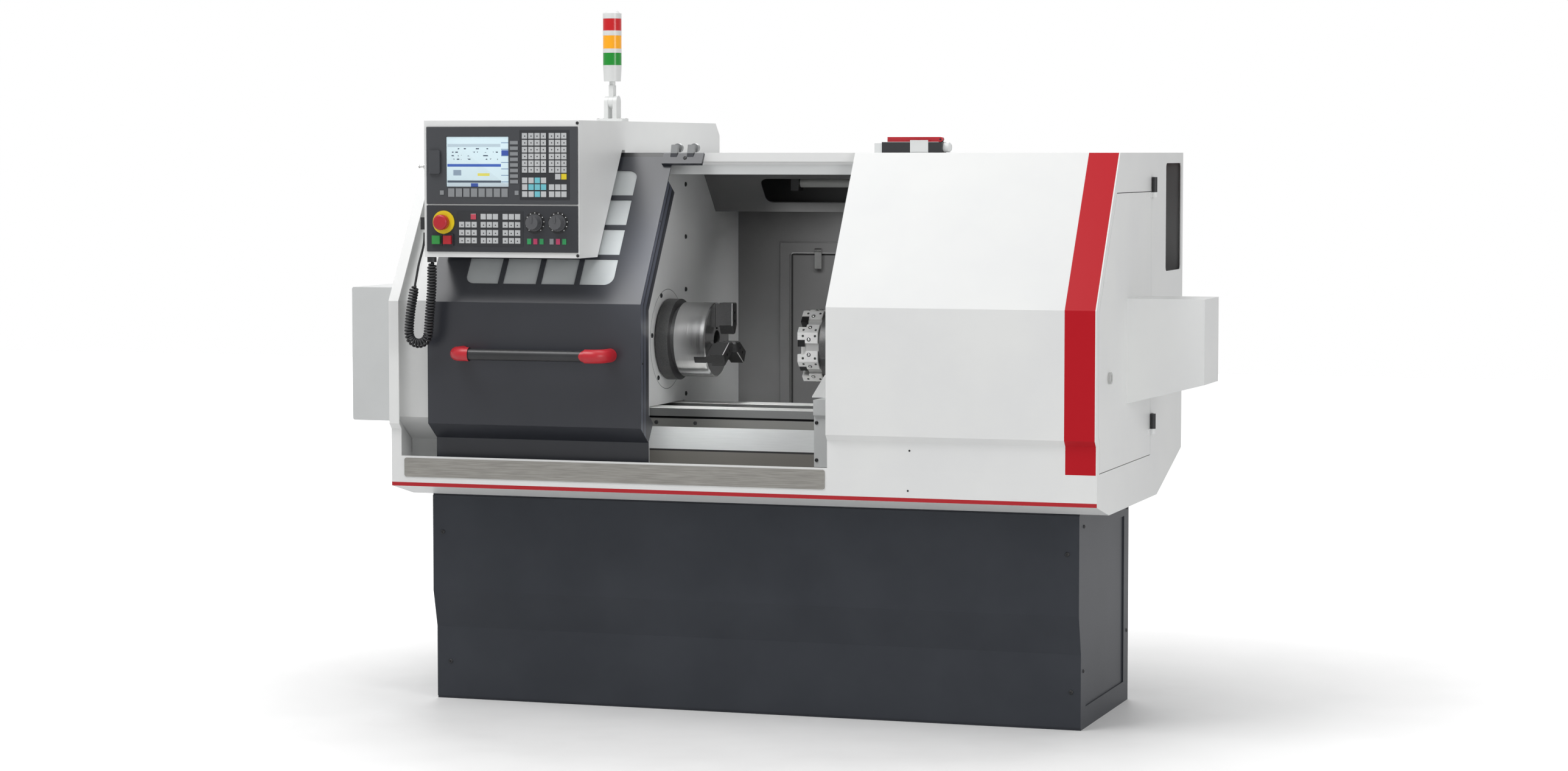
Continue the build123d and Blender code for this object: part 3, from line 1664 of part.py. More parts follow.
def make_rear_hatch():
    """Flush hatch in the rear wall, with the lower halves of its hinges along its right side."""
    axis_x, axis_y = hatch_axis()
    outer_y = back_wall_y + sheet
    hatch = plate_y(
        hatch_left_x + hatch_gap, axis_x - hatch_gap,
        hatch_low_z + hatch_gap, hatch_high_z - hatch_gap, hatch_radius - hatch_gap,
        back_wall_y, outer_y,
    )
    for low_z in hatch_hinges():
        split_z = low_z + hatch_hinge_height / 2
        hatch += block(
            axis_x - hatch_hinge_leaf, axis_x, outer_y, outer_y + hatch_leaf_thick, low_z, split_z
        )
        hatch += rod_z(hatch_hinge_barrel, axis_x, axis_y, low_z, split_z)
        hatch -= rod_z(hatch_hinge_pin + 2 * running_gap, axis_x, axis_y, low_z - overrun, split_z + overrun)
    return hatch


def latch_y():
    """Y of the latch's pivot, in front of the hatch's frame."""
    return back_wall_y - hatch_frame_depth - latch_barrel / 2 - running_gap


def make_hatch_latch():
    """Toggle lever that hangs from a barrel over the top of the hatch."""
    half = latch_width / 2
    lever = rod_x(latch_barrel, latch_x - half, latch_x + half, latch_y(), latch_pivot_z)
    lever += block(
        latch_x - half, latch_x + half, latch_y() - latch_thick / 2, latch_y() + latch_thick / 2,
        latch_pivot_z - latch_length, latch_pivot_z,
    )
    return lever


def make_lubricator():
    """Oil tank with its pump head, on a plate that stands off the rear wall."""
    left = lube_right_x - lube_width
    back = lube_front_y + lube_depth
    top = lube_low_z + lube_tank_height
    tank = block(left, lube_right_x, lube_front_y, back, lube_low_z, top)
    tank += block(
        left + lube_head_inset, lube_right_x - lube_head_inset,
        lube_front_y + lube_head_inset, back - lube_head_inset, top, top + lube_head_height,
    )
    tank += block(
        left - lube_plate_thick, left, lube_front_y, back_wall_y,
        lube_low_z - lube_plate_margin, top + lube_head_height + lube_plate_margin,
    )
    return tank


def lever_pivot():
    """X and Z of the lever's pin, over the right end of the block."""
    x = valve_left_x + valve_length - lever_pivot_inset
    return x, roof_z + valve_height + lever_gap + lever_thick / 2


def make_roof_valve():
    """Block on the guard's roof with a cap, a front plate, a round knob and a lug with the lever's pin."""
    half = valve_width / 2
    right = valve_left_x + valve_length
    top = roof_z + valve_height
    pivot_x, pivot_z = lever_pivot()
    valve = block(valve_left_x + valve_cap, right, valve_y - half, valve_y + half, roof_z, top)
    inner = half - valve_cap_inset
    cap_top = top - valve_cap_inset
    valve += block(valve_left_x, valve_left_x + valve_cap, valve_y - inner, valve_y + inner, roof_z, cap_top)
    valve += block(
        valve_plate_left_x, valve_plate_left_x + valve_plate_length,
        valve_y - half - valve_plate_thick, valve_y - half,
        roof_z + valve_plate_thick, top + valve_plate_rise,
    )
    radius = valve_knob / 2
    valve += turned(
        [
            (right, 0),
            (right, radius),
            (right + valve_knob_length - valve_knob_edge, radius),
            (right + valve_knob_length, radius - valve_knob_edge),
            (right + valve_knob_length, 0),
        ],
        valve_y, roof_z + valve_height / 2,
    )
    lug = lever_lug / 2
    round_end = lever_thick / 2 - lever_gap
    valve += block(pivot_x - round_end, pivot_x + round_end, valve_y - lug, valve_y + lug, top, pivot_z)
    valve += rod_y(2 * round_end, pivot_x, valve_y - lug, valve_y + lug, pivot_z)
    valve += rod_y(lever_pin, pivot_x, valve_y - lever_width / 2, valve_y + lever_width / 2, pivot_z)
    return valve


def make_roof_lever():
    """Hand lever lying on the block, forked round the lug, that lifts about its pin."""
    pivot_x, pivot_z = lever_pivot()
    half = lever_width / 2
    low, high = pivot_z - lever_thick / 2, pivot_z + lever_thick / 2
    lever = block(pivot_x - lever_length, pivot_x, valve_y - half, valve_y + half, low, high)
    lever += rod_y(lever_thick, pivot_x, valve_y - half, valve_y + half, pivot_z)
    fork = lever_lug / 2 + running_gap
    lever -= block(
        pivot_x - lever_thick, pivot_x + lever_thick, valve_y - fork, valve_y + fork,
        low - overrun, high + overrun,
    )
    hole = lever_pin + 2 * running_gap
    lever -= rod_y(hole, pivot_x, valve_y - half - overrun, valve_y + half + overrun, pivot_z)
    return lever


def build_nodes():
    """Every sub-part by its name."""
    angles = jaw_angles()
    return {
        "base_frame": make_base_frame(),
        "base_front_panel": make_base_front_panel(),
        "chip_tray": make_chip_tray(),
        "tray_lip": make_tray_lip(),
        "right_guard": make_right_guard(),
        "right_end_wall": make_right_end_wall(),
        "left_end_wall": make_left_end_wall(),
        "back_panel": make_back_panel(),
        "roof_panel": make_roof_panel(),
        "lamp_panel": make_lamp_panel(),
        "work_light": make_work_light(),
        "headstock_cover": make_headstock_cover(),
        "front_door": make_front_door(),
        "door_window": make_door_window(),
        "door_handle": make_door_handle(),
        "door_rollers": make_door_rollers(),
        "console_housing": make_console_housing(),
        "control_unit": make_control_unit(),
        "machine_panel": make_machine_panel(),
        "key_mats": make_key_mats(),
        "port_flap": make_port_flap(),
        "estop_button": make_estop_button(),
        "start_button": make_push_button(start_share),
        "stop_button": make_push_button(stop_share),
        "feed_knob": make_knob(feed_knob_share),
        "speed_knob": make_knob(speed_knob_share),
        "tower_foot": make_tower_foot(),
        "tower_body": make_tower_body(),
        "tower_lenses": make_tower_lenses(),
        "coil_cord": cord_tube("coil_cord", coil_route, coil_diameter),
        "coil_lead": cord_tube("coil_lead", lead_route, lead_diameter),
        "cord_glands": make_cord_glands(),
        "spindle": make_spindle(),
        "spindle_bearings": make_spindle_bearings(),
        "chuck_body": make_chuck_body(),
        "chuck_jaw_1": make_chuck_jaw(angles[0]),
        "chuck_jaw_2": make_chuck_jaw(angles[1]),
        "chuck_jaw_3": make_chuck_jaw(angles[2]),
        "headstock_casting": make_headstock_casting(),
        "main_motor": make_main_motor(),
        "motor_pulley": make_motor_pulley(),
        "drive_belt": make_drive_belt(),
        "bed": make_bed(),
        "feed_screw": make_feed_screw(),
        "carriage": make_carriage(),
        "cross_slide": make_cross_slide(),
        "turret_housing": make_turret_housing(),
        "turret_disc": make_turret_disc(),
        "tailstock_body": make_tailstock_body(),
        "tailstock_quill": make_tailstock_quill(),
        "tailstock_handwheel": make_tailstock_handwheel(),
        "spindle_end_cover": make_spindle_end_cover(),
        "side_door": make_side_door(),
        "side_door_hinges": make_side_door_hinges(),
        "side_door_lock": make_side_door_lock(),
        "rear_hatch": make_rear_hatch(),
        "hatch_latch": make_hatch_latch(),
        "lubricator": make_lubricator(),
        "roof_valve": make_roof_valve(),
        "roof_lever": make_roof_lever(),
    }


def as_compound(shape):
    """One or several solids as a single compound for a file."""
    shapes = shape if isinstance(shape, list) else [shape]
    return Compound([solid for piece in shapes for solid in piece.solids()])


def main():
    os.makedirs("parts", exist_ok=True)
    for name, shape in build_nodes().items():
        export_step(as_compound(shape), f"parts/{name}.step")


if __name__ == "__main__":
    main()
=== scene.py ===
# %% [markdown]
# # A compact turning lathe, dressed for its photograph
# The solids of the machine come packed from the CAD side, in metres, standing on the floor with +X along the bed
# from the chuck to the tailstock and -Y towards the operator. This lesson keeps every solid where it is. It gives
# each one a finish, adds the small things that are too fine for the solids, and lights the whole like a catalogue
# photograph.

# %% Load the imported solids
import json
import math

import bpy
import numpy as np
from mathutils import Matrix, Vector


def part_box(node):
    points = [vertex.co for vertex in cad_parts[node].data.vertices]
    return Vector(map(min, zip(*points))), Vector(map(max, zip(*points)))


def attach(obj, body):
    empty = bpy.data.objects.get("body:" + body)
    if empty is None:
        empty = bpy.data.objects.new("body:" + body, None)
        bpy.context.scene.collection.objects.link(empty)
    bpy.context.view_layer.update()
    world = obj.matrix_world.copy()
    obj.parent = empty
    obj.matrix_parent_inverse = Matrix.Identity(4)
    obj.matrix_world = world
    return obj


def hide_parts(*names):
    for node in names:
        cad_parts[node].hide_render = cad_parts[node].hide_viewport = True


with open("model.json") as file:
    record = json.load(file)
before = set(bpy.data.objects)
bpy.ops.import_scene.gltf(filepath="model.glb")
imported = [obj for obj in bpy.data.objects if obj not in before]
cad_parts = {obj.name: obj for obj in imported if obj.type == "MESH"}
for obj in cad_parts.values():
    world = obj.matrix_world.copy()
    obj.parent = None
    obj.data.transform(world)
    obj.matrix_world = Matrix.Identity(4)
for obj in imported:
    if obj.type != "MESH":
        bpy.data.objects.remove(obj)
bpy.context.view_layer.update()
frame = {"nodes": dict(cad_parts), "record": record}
MM = 0.001

# %% [markdown]
# ## Two small tools for finishes
# A finish is a tree of nodes. Written out in full, each node takes four or five lines, so one function adds a node,
# sets it and links it. Colours are easiest to compare with a photograph as sRGB hex values, but a renderer adds up
# light, so a second function turns them to linear numbers.

# %% Colour and node helpers
def linear(code):
    """sRGB to linear, channel by channel: c / 12.92 up to 0.04045, ((c + 0.055) / 1.055) ** 2.4 above it."""
    c = np.array([int(code[i:i + 2], 16) for i in (1, 3, 5)]) / 255
    c = np.where(c <= 0.04045, c / 12.92, ((c + 0.055) / 1.055) ** 2.4)
    return (*c.tolist(), 1.0)


def add(tree, kind, settings=None, **sockets):
    """Adds one node: settings are its properties, sockets its inputs by name (_ for a blank), a value or a link."""
    node = tree.nodes.new("ShaderNode" + kind)
    for key, value in (settings or {}).items():
        setattr(node, key, value)
    for key, value in sockets.items():
        name = int(key[1:]) if key[0] == "i" and key[1:].isdigit() else key.replace("_", " ")
        if isinstance(value, bpy.types.NodeSocket):
            tree.links.new(value, node.inputs[name])
        else:
            node.inputs[name].default_value = value
    return node


def per_mm(size):
    """Noise scale for features of this size in millimetres: one feature in size, coordinates in metres."""
    return 1.0 / (size * MM)


# %% [markdown]
# Nearly every finish here starts in the same way: a shader, the place on the machine in metres, and some unevenness
# in colour, gloss and height. `start_finish` lays that out. The fine grain is the size that the real process leaves,
# drawn coarser where a render of this width could not show it.

# %% The start of every finish
def start_finish(name, roughness, metallic=0.0, ior=1.45, spread=0.05, grain=6.0, bump=0.02, stretch=(1, 1, 1)):
    """A material, its tree, its shader and the parts of its place: gloss wanders by spread, height by bump mm."""
    material = bpy.data.materials.new(name)
    material.use_nodes = True
    tree = material.node_tree
    shader = tree.nodes["Principled BSDF"]
    shader.inputs["Metallic"].default_value = metallic
    if not metallic:
        shader.inputs["IOR"].default_value = ior
    place = add(tree, "TexCoord").outputs["Object"]
    turned = add(tree, "Mapping", Vector=place, Scale=stretch).outputs["Vector"]
    fine = add(tree, "TexNoise", Vector=turned, Scale=per_mm(grain), Detail=3.0).outputs["Fac"]
    broad = add(tree, "TexNoise", Vector=place, Scale=per_mm(180), Detail=4.0).outputs["Fac"]
    gloss = add(tree, "MapRange", Value=fine, To_Min=roughness - spread, To_Max=roughness + spread).outputs[0]
    tree.links.new(gloss, shader.inputs["Roughness"])
    height = add(tree, "Bump", Height=fine, Strength=0.5, Distance=bump * MM).outputs["Normal"]
    tree.links.new(height, shader.inputs["Normal"])
    axes = add(tree, "SeparateXYZ", Vector=place).outputs
    return material, tree, shader, {"place": place, "fine": fine, "broad": broad, "axes": axes}


def uneven(tree, parts, light, dark, share="broad"):
    """Colour that drifts between two shades with the broad noise (or the fine one)."""
    ramp = add(tree, "MapRange", Value=parts[share], From_Min=0.3, From_Max=0.7).outputs[0]
    return add(tree, "MixRGB", Fac=ramp, Color1=linear(dark), Color2=linear(light)).outputs["Color"]


def within(tree, socket, low, high):
    """1 where low < socket < high, in millimetres, else 0: |socket - middle| <= half."""
    middle, half = (low + high) / 2 * MM, (high - low) / 2 * MM
    return add(tree, "Math", {"operation": "COMPARE"}, i0=socket, i1=middle, i2=half).outputs[0]


def both(tree, one, other):
    """1 where both masks are 1."""
    return add(tree, "Math", {"operation": "MULTIPLY"}, i0=one, i1=other).outputs[0]


def over(tree, under, mask, colour):
    """Lays a flat paint of this hex colour over another colour where the mask is 1."""
    return add(tree, "MixRGB", Fac=mask, Color1=under, Color2=linear(colour)).outputs["Color"]


def paint(tree, shader, colour):
    tree.links.new(colour, shader.inputs["Base Color"])


FINISH = {}

# %% [markdown]
# ## Paints
# The sheet metal is powder coated: a resin dust is melted onto the steel, which leaves a satin skin with a faint
# orange peel of a few millimetres. White is the main colour. The red stripe and the red line on the tray are sprayed
# on the same sheet, so they are colour by place in one finish and not separate strips. The door has a darker coat
# with a fine texture, and the inside of the cabin a plain grey.

# %% Powder coats
def powder_coat(name, light, dark, roughness=0.38, bump=0.05, grain=9.0, sheen=0.5):
    """Powder coat, IOR 1.5: satin, orange peel of 9 mm drawn 0.05 mm high; sheen is its specular level."""
    material, tree, shader, parts = start_finish(name, roughness, ior=1.5, spread=0.04, grain=grain, bump=bump)
    shader.inputs["Specular IOR Level"].default_value = sheen
    colour = uneven(tree, parts, light, dark)
    paint(tree, shader, colour)
    return material, tree, shader, parts, colour


def white_coat(name, sheen=0.5):
    return powder_coat(name, "#EDEEED", "#E9EAEA", sheen=sheen)


def grey_inside(name):
    return powder_coat(name, "#727272", "#6A6A6A", 0.36)


def dark_coat(name):
    return powder_coat(name, "#34363C", "#2F3137", 0.3, 0.05, 4.0)


FINISH["white_paint"] = white_coat("white_powder_coat")[0]
FINISH["grey_paint"] = powder_coat("pale_grey_powder_coat", "#DADCDC", "#D4D6D6")[0]
FINISH["interior_paint"] = grey_inside("cabin_grey_powder_coat")[0]
FINISH["dark_paint"] = powder_coat("anthracite_structure_coat", "#3C3F45", "#36393F", 0.4, 0.05, 4.0, 0.2)[0]

# %% The red stripe and the red line
STRIPE_X, LINE_Y, LINE_Z = (887, 967), (-470, -457), (588, 598)
material, tree, shader, parts, colour = white_coat("white_coat_red_stripe", 0.2)
stripe = within(tree, parts["axes"]["X"], *STRIPE_X)
paint(tree, shader, over(tree, colour, stripe, "#BB1220"))
FINISH["guard_paint"] = material

material, tree, shader, parts, colour = white_coat("white_coat_red_line")
line = both(tree, within(tree, parts["axes"]["Z"], *LINE_Z), within(tree, parts["axes"]["Y"], *LINE_Y))
paint(tree, shader, over(tree, colour, line, "#B4101E"))
FINISH["tray_paint"] = material
print("paints", sorted(FINISH))

# %% [markdown]
# ## Metals
# Most bare metal on a lathe shows how it was cut. Turned parts carry fine rings round their axis, ground ways carry
# lines along the travel, and rolled stainless sheet is brushed one way. One function stretches the noise along the
# direction of the cut. Cast iron is left rough and painted or machined on its faces only.

# %% Cut and cast metals
def cut_metal(name, light, dark, roughness, stretch, grain=1.6, bump=0.02, metallic=1.0):
    """Bare metal: noise pulled out along the cut, 1.6 mm across it (real lines are finer than a pixel)."""
    material, tree, shader, parts = start_finish(
        name, roughness, metallic, 1.5, spread=0.07, grain=grain, bump=bump, stretch=stretch
    )
    colour = uneven(tree, parts, light, dark, "fine")
    paint(tree, shader, colour)
    return material, tree, shader, parts, colour


FINISH["stainless"] = cut_metal("brushed_stainless_sheet", "#AAA8A3", "#918F8A", 0.34, (0.03, 1, 1))[0]
FINISH["ground_steel"] = cut_metal("ground_tool_steel", "#C4C4C2", "#ABABA9", 0.26, (0.04, 1, 1))[0]
FINISH["dark_steel"] = cut_metal("blackened_steel", "#5C5C5C", "#4E4E4F", 0.38, (1, 1, 1), 3.0, 0.004, 0.5)[0]
FINISH["polished_steel"] = cut_metal("polished_chrome_steel", "#D0D0CF", "#BDBDBC", 0.16, (1, 0.2, 0.2), 2.0, 0.01)[0]
FINISH["casting_iron"] = cut_metal(
    "painted_grey_cast_iron", "#B4B7B7", "#A3A6A6", 0.5, (1, 1, 1), 5.0, 0.12, metallic=0.0
)[0]

material, tree, shader, parts, colour = cut_metal(
    "bed_casting_with_painted_light_on_ways", "#ECEEEE", "#E6E8E8", 0.4, (0.04, 1, 1), 2.5, 0.01, metallic=0.0
)
# Bands by height. The top, 789 to 900 mm, is drawn near white and not metallic: a painted highlight for the light from
# above on the ways. The black band under the way's flange (762.5 to 768.5) and the dark band at the foot of the white
# face (676 to 681) are painted shade. The others are the grey steel of the way's face and of the rail, and the lower
# casting.
BED_BANDS_WITH_PAINTED_LIGHT = ((789, 900, "#F3F3F1"), (768.5, 789, "#858686"), (762.5, 768.5, "#1C1C1D"), (740, 762.5, "#8F8F8C"),
             (676, 681, "#2C2C2D"), (500, 676, "#7B7873"))
for low, high, code in BED_BANDS_WITH_PAINTED_LIGHT:
    colour = over(tree, colour, within(tree, parts["axes"]["Z"], low, high), code)
paint(tree, shader, colour)
tree.links.new(within(tree, parts["axes"]["Z"], 740, 789), shader.inputs["Metallic"])
FINISH["bed_iron"] = material
print("finishes so far", len(FINISH))

# %% [markdown]
# ## Plastics, rubber and glass
# Moulded ABS has a spark-eroded grain of about a millimetre and a soft sheen. The lamp lenses are dyed
# polycarbonate: light goes in and comes back out coloured, so they are partly transmissive, and a faint painted glow
# in their own colour stands in for that light. The window behind the door's bars is a scratched polycarbonate sheet
# that scatters light, and reads as a pale grey.

# %% Moulded plastics
def moulded(name, light, dark, roughness=0.42, grain=2.2, bump=0.05):
    """Moulded ABS or similar, IOR 1.53: grain of 2.2 mm (really about 1 mm) on the skin."""
    material, tree, shader, parts = start_finish(name, roughness, ior=1.53, spread=0.05, grain=grain, bump=bump)
    colour = uneven(tree, parts, light, dark)
    paint(tree, shader, colour)
    return material, tree, shader, parts, colour


FINISH["black_plastic"] = moulded("black_grained_abs", "#26272A", "#1C1D1F")[0]
FINISH["red_plastic"] = moulded("red_gloss_abs", "#CB2230", "#B51B28", 0.25, 3.0, 0.01)[0]
FINISH["green_plastic"] = moulded("green_gloss_abs", "#38A24B", "#2C8C3E", 0.25, 3.0, 0.01)[0]
FINISH["pale_plastic"] = moulded("white_gloss_abs", "#E6E7E6", "#DADCDB", 0.3, 3.0, 0.01)[0]
FINISH["black_rubber"] = moulded("black_cord_rubber", "#202124", "#17181A", 0.5, 1.5, 0.04)[0]
FINISH["unit_plastic"] = moulded("dark_grey_unit_front", "#434549", "#3C3E42", 0.45)[0]

# %% Handle with red ends, the right one bowed: X less (Z - middle) ** 2 / bow
HANDLE_Z, BOW = 945, 26
LEFT_END, RIGHT_END = (-800, -684.5), (-375, -200)
material, tree, shader, parts, colour = moulded("black_handle_red_ends", "#2A2B2E", "#1E1F21", 0.35)
bow = add(tree, "Math", {"operation": "SUBTRACT"}, i0=parts["axes"]["Z"], i1=HANDLE_Z * MM).outputs[0]
bow = add(tree, "Math", {"operation": "MULTIPLY"}, i0=bow, i1=bow).outputs[0]
bow = add(tree, "Math", {"operation": "MULTIPLY"}, i0=bow, i1=1 / (BOW * MM)).outputs[0]
outward = add(tree, "Math", {"operation": "SUBTRACT"}, i0=parts["axes"]["X"], i1=bow).outputs[0]
red = over(tree, colour, within(tree, outward, *RIGHT_END), "#C4212E")
red = over(tree, red, within(tree, parts["axes"]["X"], *LEFT_END), "#C4212E")
paint(tree, shader, red)
FINISH["handle_plastic"] = material

# %% Lenses and panes
material, tree, shader, parts, colour = moulded("dyed_polycarbonate_lenses_painted_glow", "#FFB20A", "#F7A800", 0.2, 3.0, 0.0)
lens_low, lens_high = [corner.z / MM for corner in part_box("tower_lenses")]
MARGIN, RED_DEEP, GREEN_TALL = 9, 34, 36
colour = over(tree, colour, within(tree, parts["axes"]["Z"], lens_high - RED_DEEP, lens_high + MARGIN), "#C8000F")
colour = over(tree, colour, within(tree, parts["axes"]["Z"], lens_low - MARGIN, lens_low + GREEN_TALL), "#008C25")
paint(tree, shader, colour)
shader.inputs["Transmission Weight"].default_value = 0.1
# a faint glow in the lenses' own colour, painted on: no lamp lights them from inside
tree.links.new(colour, shader.inputs["Emission Color"])
shader.inputs["Emission Strength"].default_value = 0.12
FINISH["lens_plastic"] = material

material, tree, shader, parts, colour = moulded("scratched_polycarbonate_pane", "#D6DADB", "#C6CBCC", 0.3, 60.0, 0.02)
shader.inputs["Transmission Weight"].default_value = 0.25
FINISH["window_glass"] = material
print("all finishes", len(FINISH))

# %% [markdown]
# ## Every solid gets its finish
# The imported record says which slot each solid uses. Walking through that list paints most of the machine. A solid
# whose slot has no finish yet keeps an empty place, and gets a finish of its own further on.

# %% Paint the solids
for part in frame["record"]["subparts"]:
    slots = frame["nodes"][part["node"]].data.materials
    slots.clear()
    slots.append(FINISH.get(part["material_slot"]))


def refinish(node, finish):
    frame["nodes"][node].data.materials[0] = finish


for node in ("right_end_wall", "side_door"):
    refinish(node, FINISH["white_paint"])

# %% [markdown]
# ## Camera, floor and light
# The photograph was taken from the right of the machine, a little above it, with a long lens. The numbers here come
# from fitting straight edges of the machine, so the camera is placed and not aimed by eye. It is tilted down by a few
# degrees and has no shift, so that the machine also sits in the middle of the frame from other sides. The floor and
# the backdrop are white for the camera, and only the floor takes a shadow.

# %% Camera
AZIMUTH, TILT = math.radians(18.105), math.radians(3.8085)
camera = bpy.data.objects.new("catalogue_camera", bpy.data.cameras.new("catalogue_camera"))
bpy.context.scene.collection.objects.link(camera)
camera.location = (2.9186, -8.9232, 1.4688)
camera.rotation_euler = (math.pi / 2 - TILT, 0, AZIMUTH)
camera.data.lens = 80.354
camera.data.sensor_width = 36
camera.data.clip_end = 60
bpy.context.scene.camera = camera
print("camera", round(camera.data.lens, 1), "mm lens")

# %% [markdown]
# A catalogue picture stands on white with a soft shadow. The floor is plain and pale. For the camera it glows more the
# farther it is from the machine, so that the shadow stays and the edge of the floor melts into the backdrop.

# %% Floor
NEAR_GLOW, FAR_GLOW, NEAR, FAR, FLOOR_MIRROR = 0.05, 0.85, 1.0, 3.4, 0.3
REACH = 14.0
corners = [(-REACH, -REACH, 0), (REACH, -REACH, 0), (REACH, REACH, 0), (-REACH, REACH, 0)]
floor_mesh = bpy.data.meshes.new("studio_floor")
floor_mesh.from_pydata(corners, [], [(0, 1, 2, 3)])
floor = bpy.data.objects.new("studio_floor", floor_mesh)
bpy.context.scene.collection.objects.link(floor)
material, tree, shader, parts = start_finish("pale_studio_floor", 0.6, spread=0.03, grain=40, bump=0.0)
paint(tree, shader, uneven(tree, parts, "#F4F4F4", "#EFEFEF"))
path = add(tree, "LightPath").outputs
mirrored = add(tree, "Math", {"operation": "MULTIPLY"}, i0=path["Is Glossy Ray"], i1=FLOOR_MIRROR).outputs[0]
seen = add(tree, "Math", {"operation": "MAXIMUM"}, i0=path["Is Camera Ray"], i1=mirrored).outputs[0]
away = add(tree, "VectorMath", {"operation": "LENGTH"}, i0=parts["place"]).outputs["Value"]
glow = add(tree, "MapRange", Value=away, From_Min=NEAR, From_Max=FAR, To_Min=NEAR_GLOW, To_Max=FAR_GLOW).outputs[0]
seen = add(tree, "Math", {"operation": "MULTIPLY"}, i0=seen, i1=glow).outputs[0]
shader.inputs["Emission Color"].default_value = (1, 1, 1, 1)
tree.links.new(seen, shader.inputs["Emission Strength"])
floor_mesh.materials.append(material)
print("floor", 2 * REACH, "m wide")

# %% [markdown]
# The backdrop is the world. The camera sees it white, but it lights the machine with much less, and a Light Path node
# keeps the two apart. Five soft lamps give the shapes their shading, and a narrow one reaches the chuck.

# %% Backdrop
SKY, SKY_MIRROR = 0.36, 0.55
world = bpy.data.worlds.new("studio_world")
bpy.context.scene.world = world
world.use_nodes = True
tree = world.node_tree
background = tree.nodes["Background"]
path = add(tree, "LightPath").outputs
straight, through = path["Is Camera Ray"], path["Is Transmission Ray"]
seen = add(tree, "Math", {"operation": "MAXIMUM"}, i0=straight, i1=through).outputs[0]
mirrored = add(tree, "Math", {"operation": "MULTIPLY"}, i0=path["Is Glossy Ray"], i1=SKY_MIRROR).outputs[0]
seen = add(tree, "Math", {"operation": "MAXIMUM"}, i0=seen, i1=mirrored).outputs[0]
strength = add(tree, "MapRange", Value=seen, To_Min=SKY, To_Max=1.0).outputs[0]
background.inputs["Color"].default_value = (1, 1, 1, 1)
tree.links.new(strength, background.inputs["Strength"])


# %% Lamps
def soft_lamp(name, place, target, size, watts, spread=180):
    """A rectangular lamp turned from its place towards a target; spread is the full angle of its light in degrees."""
    lamp = bpy.data.objects.new(name, bpy.data.lights.new(name, "AREA"))
    bpy.context.scene.collection.objects.link(lamp)
    lamp.data.shape = "RECTANGLE"
    lamp.data.size, lamp.data.size_y = size
    lamp.data.energy = watts
    lamp.data.spread = math.radians(spread)
    lamp.location = place
    aim = Vector(target) - Vector(place)
    lamp.rotation_euler = aim.to_track_quat("-Z", "Y").to_euler()


soft_lamp("top_front_lamp", (-1.6, -2.2, 4.6), (-0.2, -0.3, 1.1), (3.0, 2.0), 100)
soft_lamp("fill_lamp", (4.4, -3.4, 2.2), (-0.1, 0.0, 0.9), (2.0, 2.0), 62)
soft_lamp("top_lamp", (0.2, 0.2, 4.6), (0.2, 0.1, 1.0), (3.4, 2.4), 40)
soft_lamp("back_lamp", (-1.5, 4.6, 3.2), (0, 0.2, 0.9), (3.0, 2.0), 60)
soft_lamp("cabin_lamp", (0.12, 0.24, 1.3), (0.12, 0.56, 0.95), (0.5, 0.1), 0.7, 120)
soft_lamp("chuck_lamp", (-0.1, -0.95, 1.62), (-0.17, -0.04, 0.93), (0.2, 0.2), 0.8, 34)
print("lamps", len(bpy.data.lights))

# %% [markdown]
# ## Tools for new pieces
# A new piece is a stack of rings. A ring is an outline of n points, and the surface runs from ring to ring, closed at
# both ends. Turned parts, plates with rounded corners and bars are all stacks of rings, only with other outlines, so
# one function makes the mesh for all of them. Several copies can go in one mesh, as for a row of screws.

# %% Rings to mesh
def skin(name, rings, body, finish, smooth=True):
    """Mesh from rings[copy, ring, point, xyz]: quads join point j of ring i to j+1 and ring i+1, ends are capped.

    The signed volume is the sum of place . (edge x edge) over the quads; below zero, the faces look inward.
    """
    rings = np.asarray(rings, float)
    rings = rings.reshape((-1,) + rings.shape[-3:])
    copies, k, n = rings.shape[:3]
    i, j = np.meshgrid(np.arange(k - 1), np.arange(n), indexing="ij")
    quad = np.stack([i * n + j, i * n + (j + 1) % n, (i + 1) * n + (j + 1) % n, (i + 1) * n + j], -1).reshape(-1, 4)
    first = np.arange(copies)[:, None, None] * k * n
    quads = (quad[None] + first).reshape(-1, 4)
    caps = np.concatenate([np.arange(n)[::-1][None] + first[:, 0], np.arange(n)[None] + (k - 1) * n + first[:, 0]])
    mesh = bpy.data.meshes.new(name)
    mesh.from_pydata(rings.reshape(-1, 3).tolist(), [], quads.tolist() + caps.tolist())
    mesh.update()
    volume = np.einsum("...i,...i", rings[:, :-1] - rings.mean((1, 2), keepdims=True),
                       np.cross(np.roll(rings, -1, 2)[:, :-1] - rings[:, :-1], rings[:, 1:] - rings[:, :-1])).sum()
    if volume < 0:
        mesh.flip_normals()
    mesh.polygons.foreach_set("use_smooth", np.full(len(mesh.polygons), smooth))
    mesh.materials.append(finish)
    piece = bpy.data.objects.new(name, mesh)
    bpy.context.scene.collection.objects.link(piece)
    if smooth:
        mesh.set_sharp_from_angle(angle=math.radians(35))
    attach(piece, body)
    return piece


def basis(axis):
    """Two directions square to a unit axis: any vector not along it, crossed twice."""
    axis = np.asarray(axis, float) / np.linalg.norm(axis)
    side = np.cross(axis, (0, 0, 1) if abs(axis[2]) < 0.9 else (1, 0, 0))
    side /= np.linalg.norm(side)
    return side, np.cross(axis, side), axis


def turned_rings(profile, centres, axis, points=20):
    """Profile [(radius, height)] in mm turned about an axis: centre + r (cos t u + sin t v) + h axis."""
    u, v, w = basis(axis)
    t = np.linspace(0, 2 * np.pi, points, endpoint=False)
    r, h = np.asarray(profile, float).T * MM
    circle = np.cos(t)[:, None] * u + np.sin(t)[:, None] * v
    shape = r[:, None, None] * circle + h[:, None, None] * w
    return np.asarray(centres, float).reshape(-1, 1, 1, 3) * MM + shape[None]


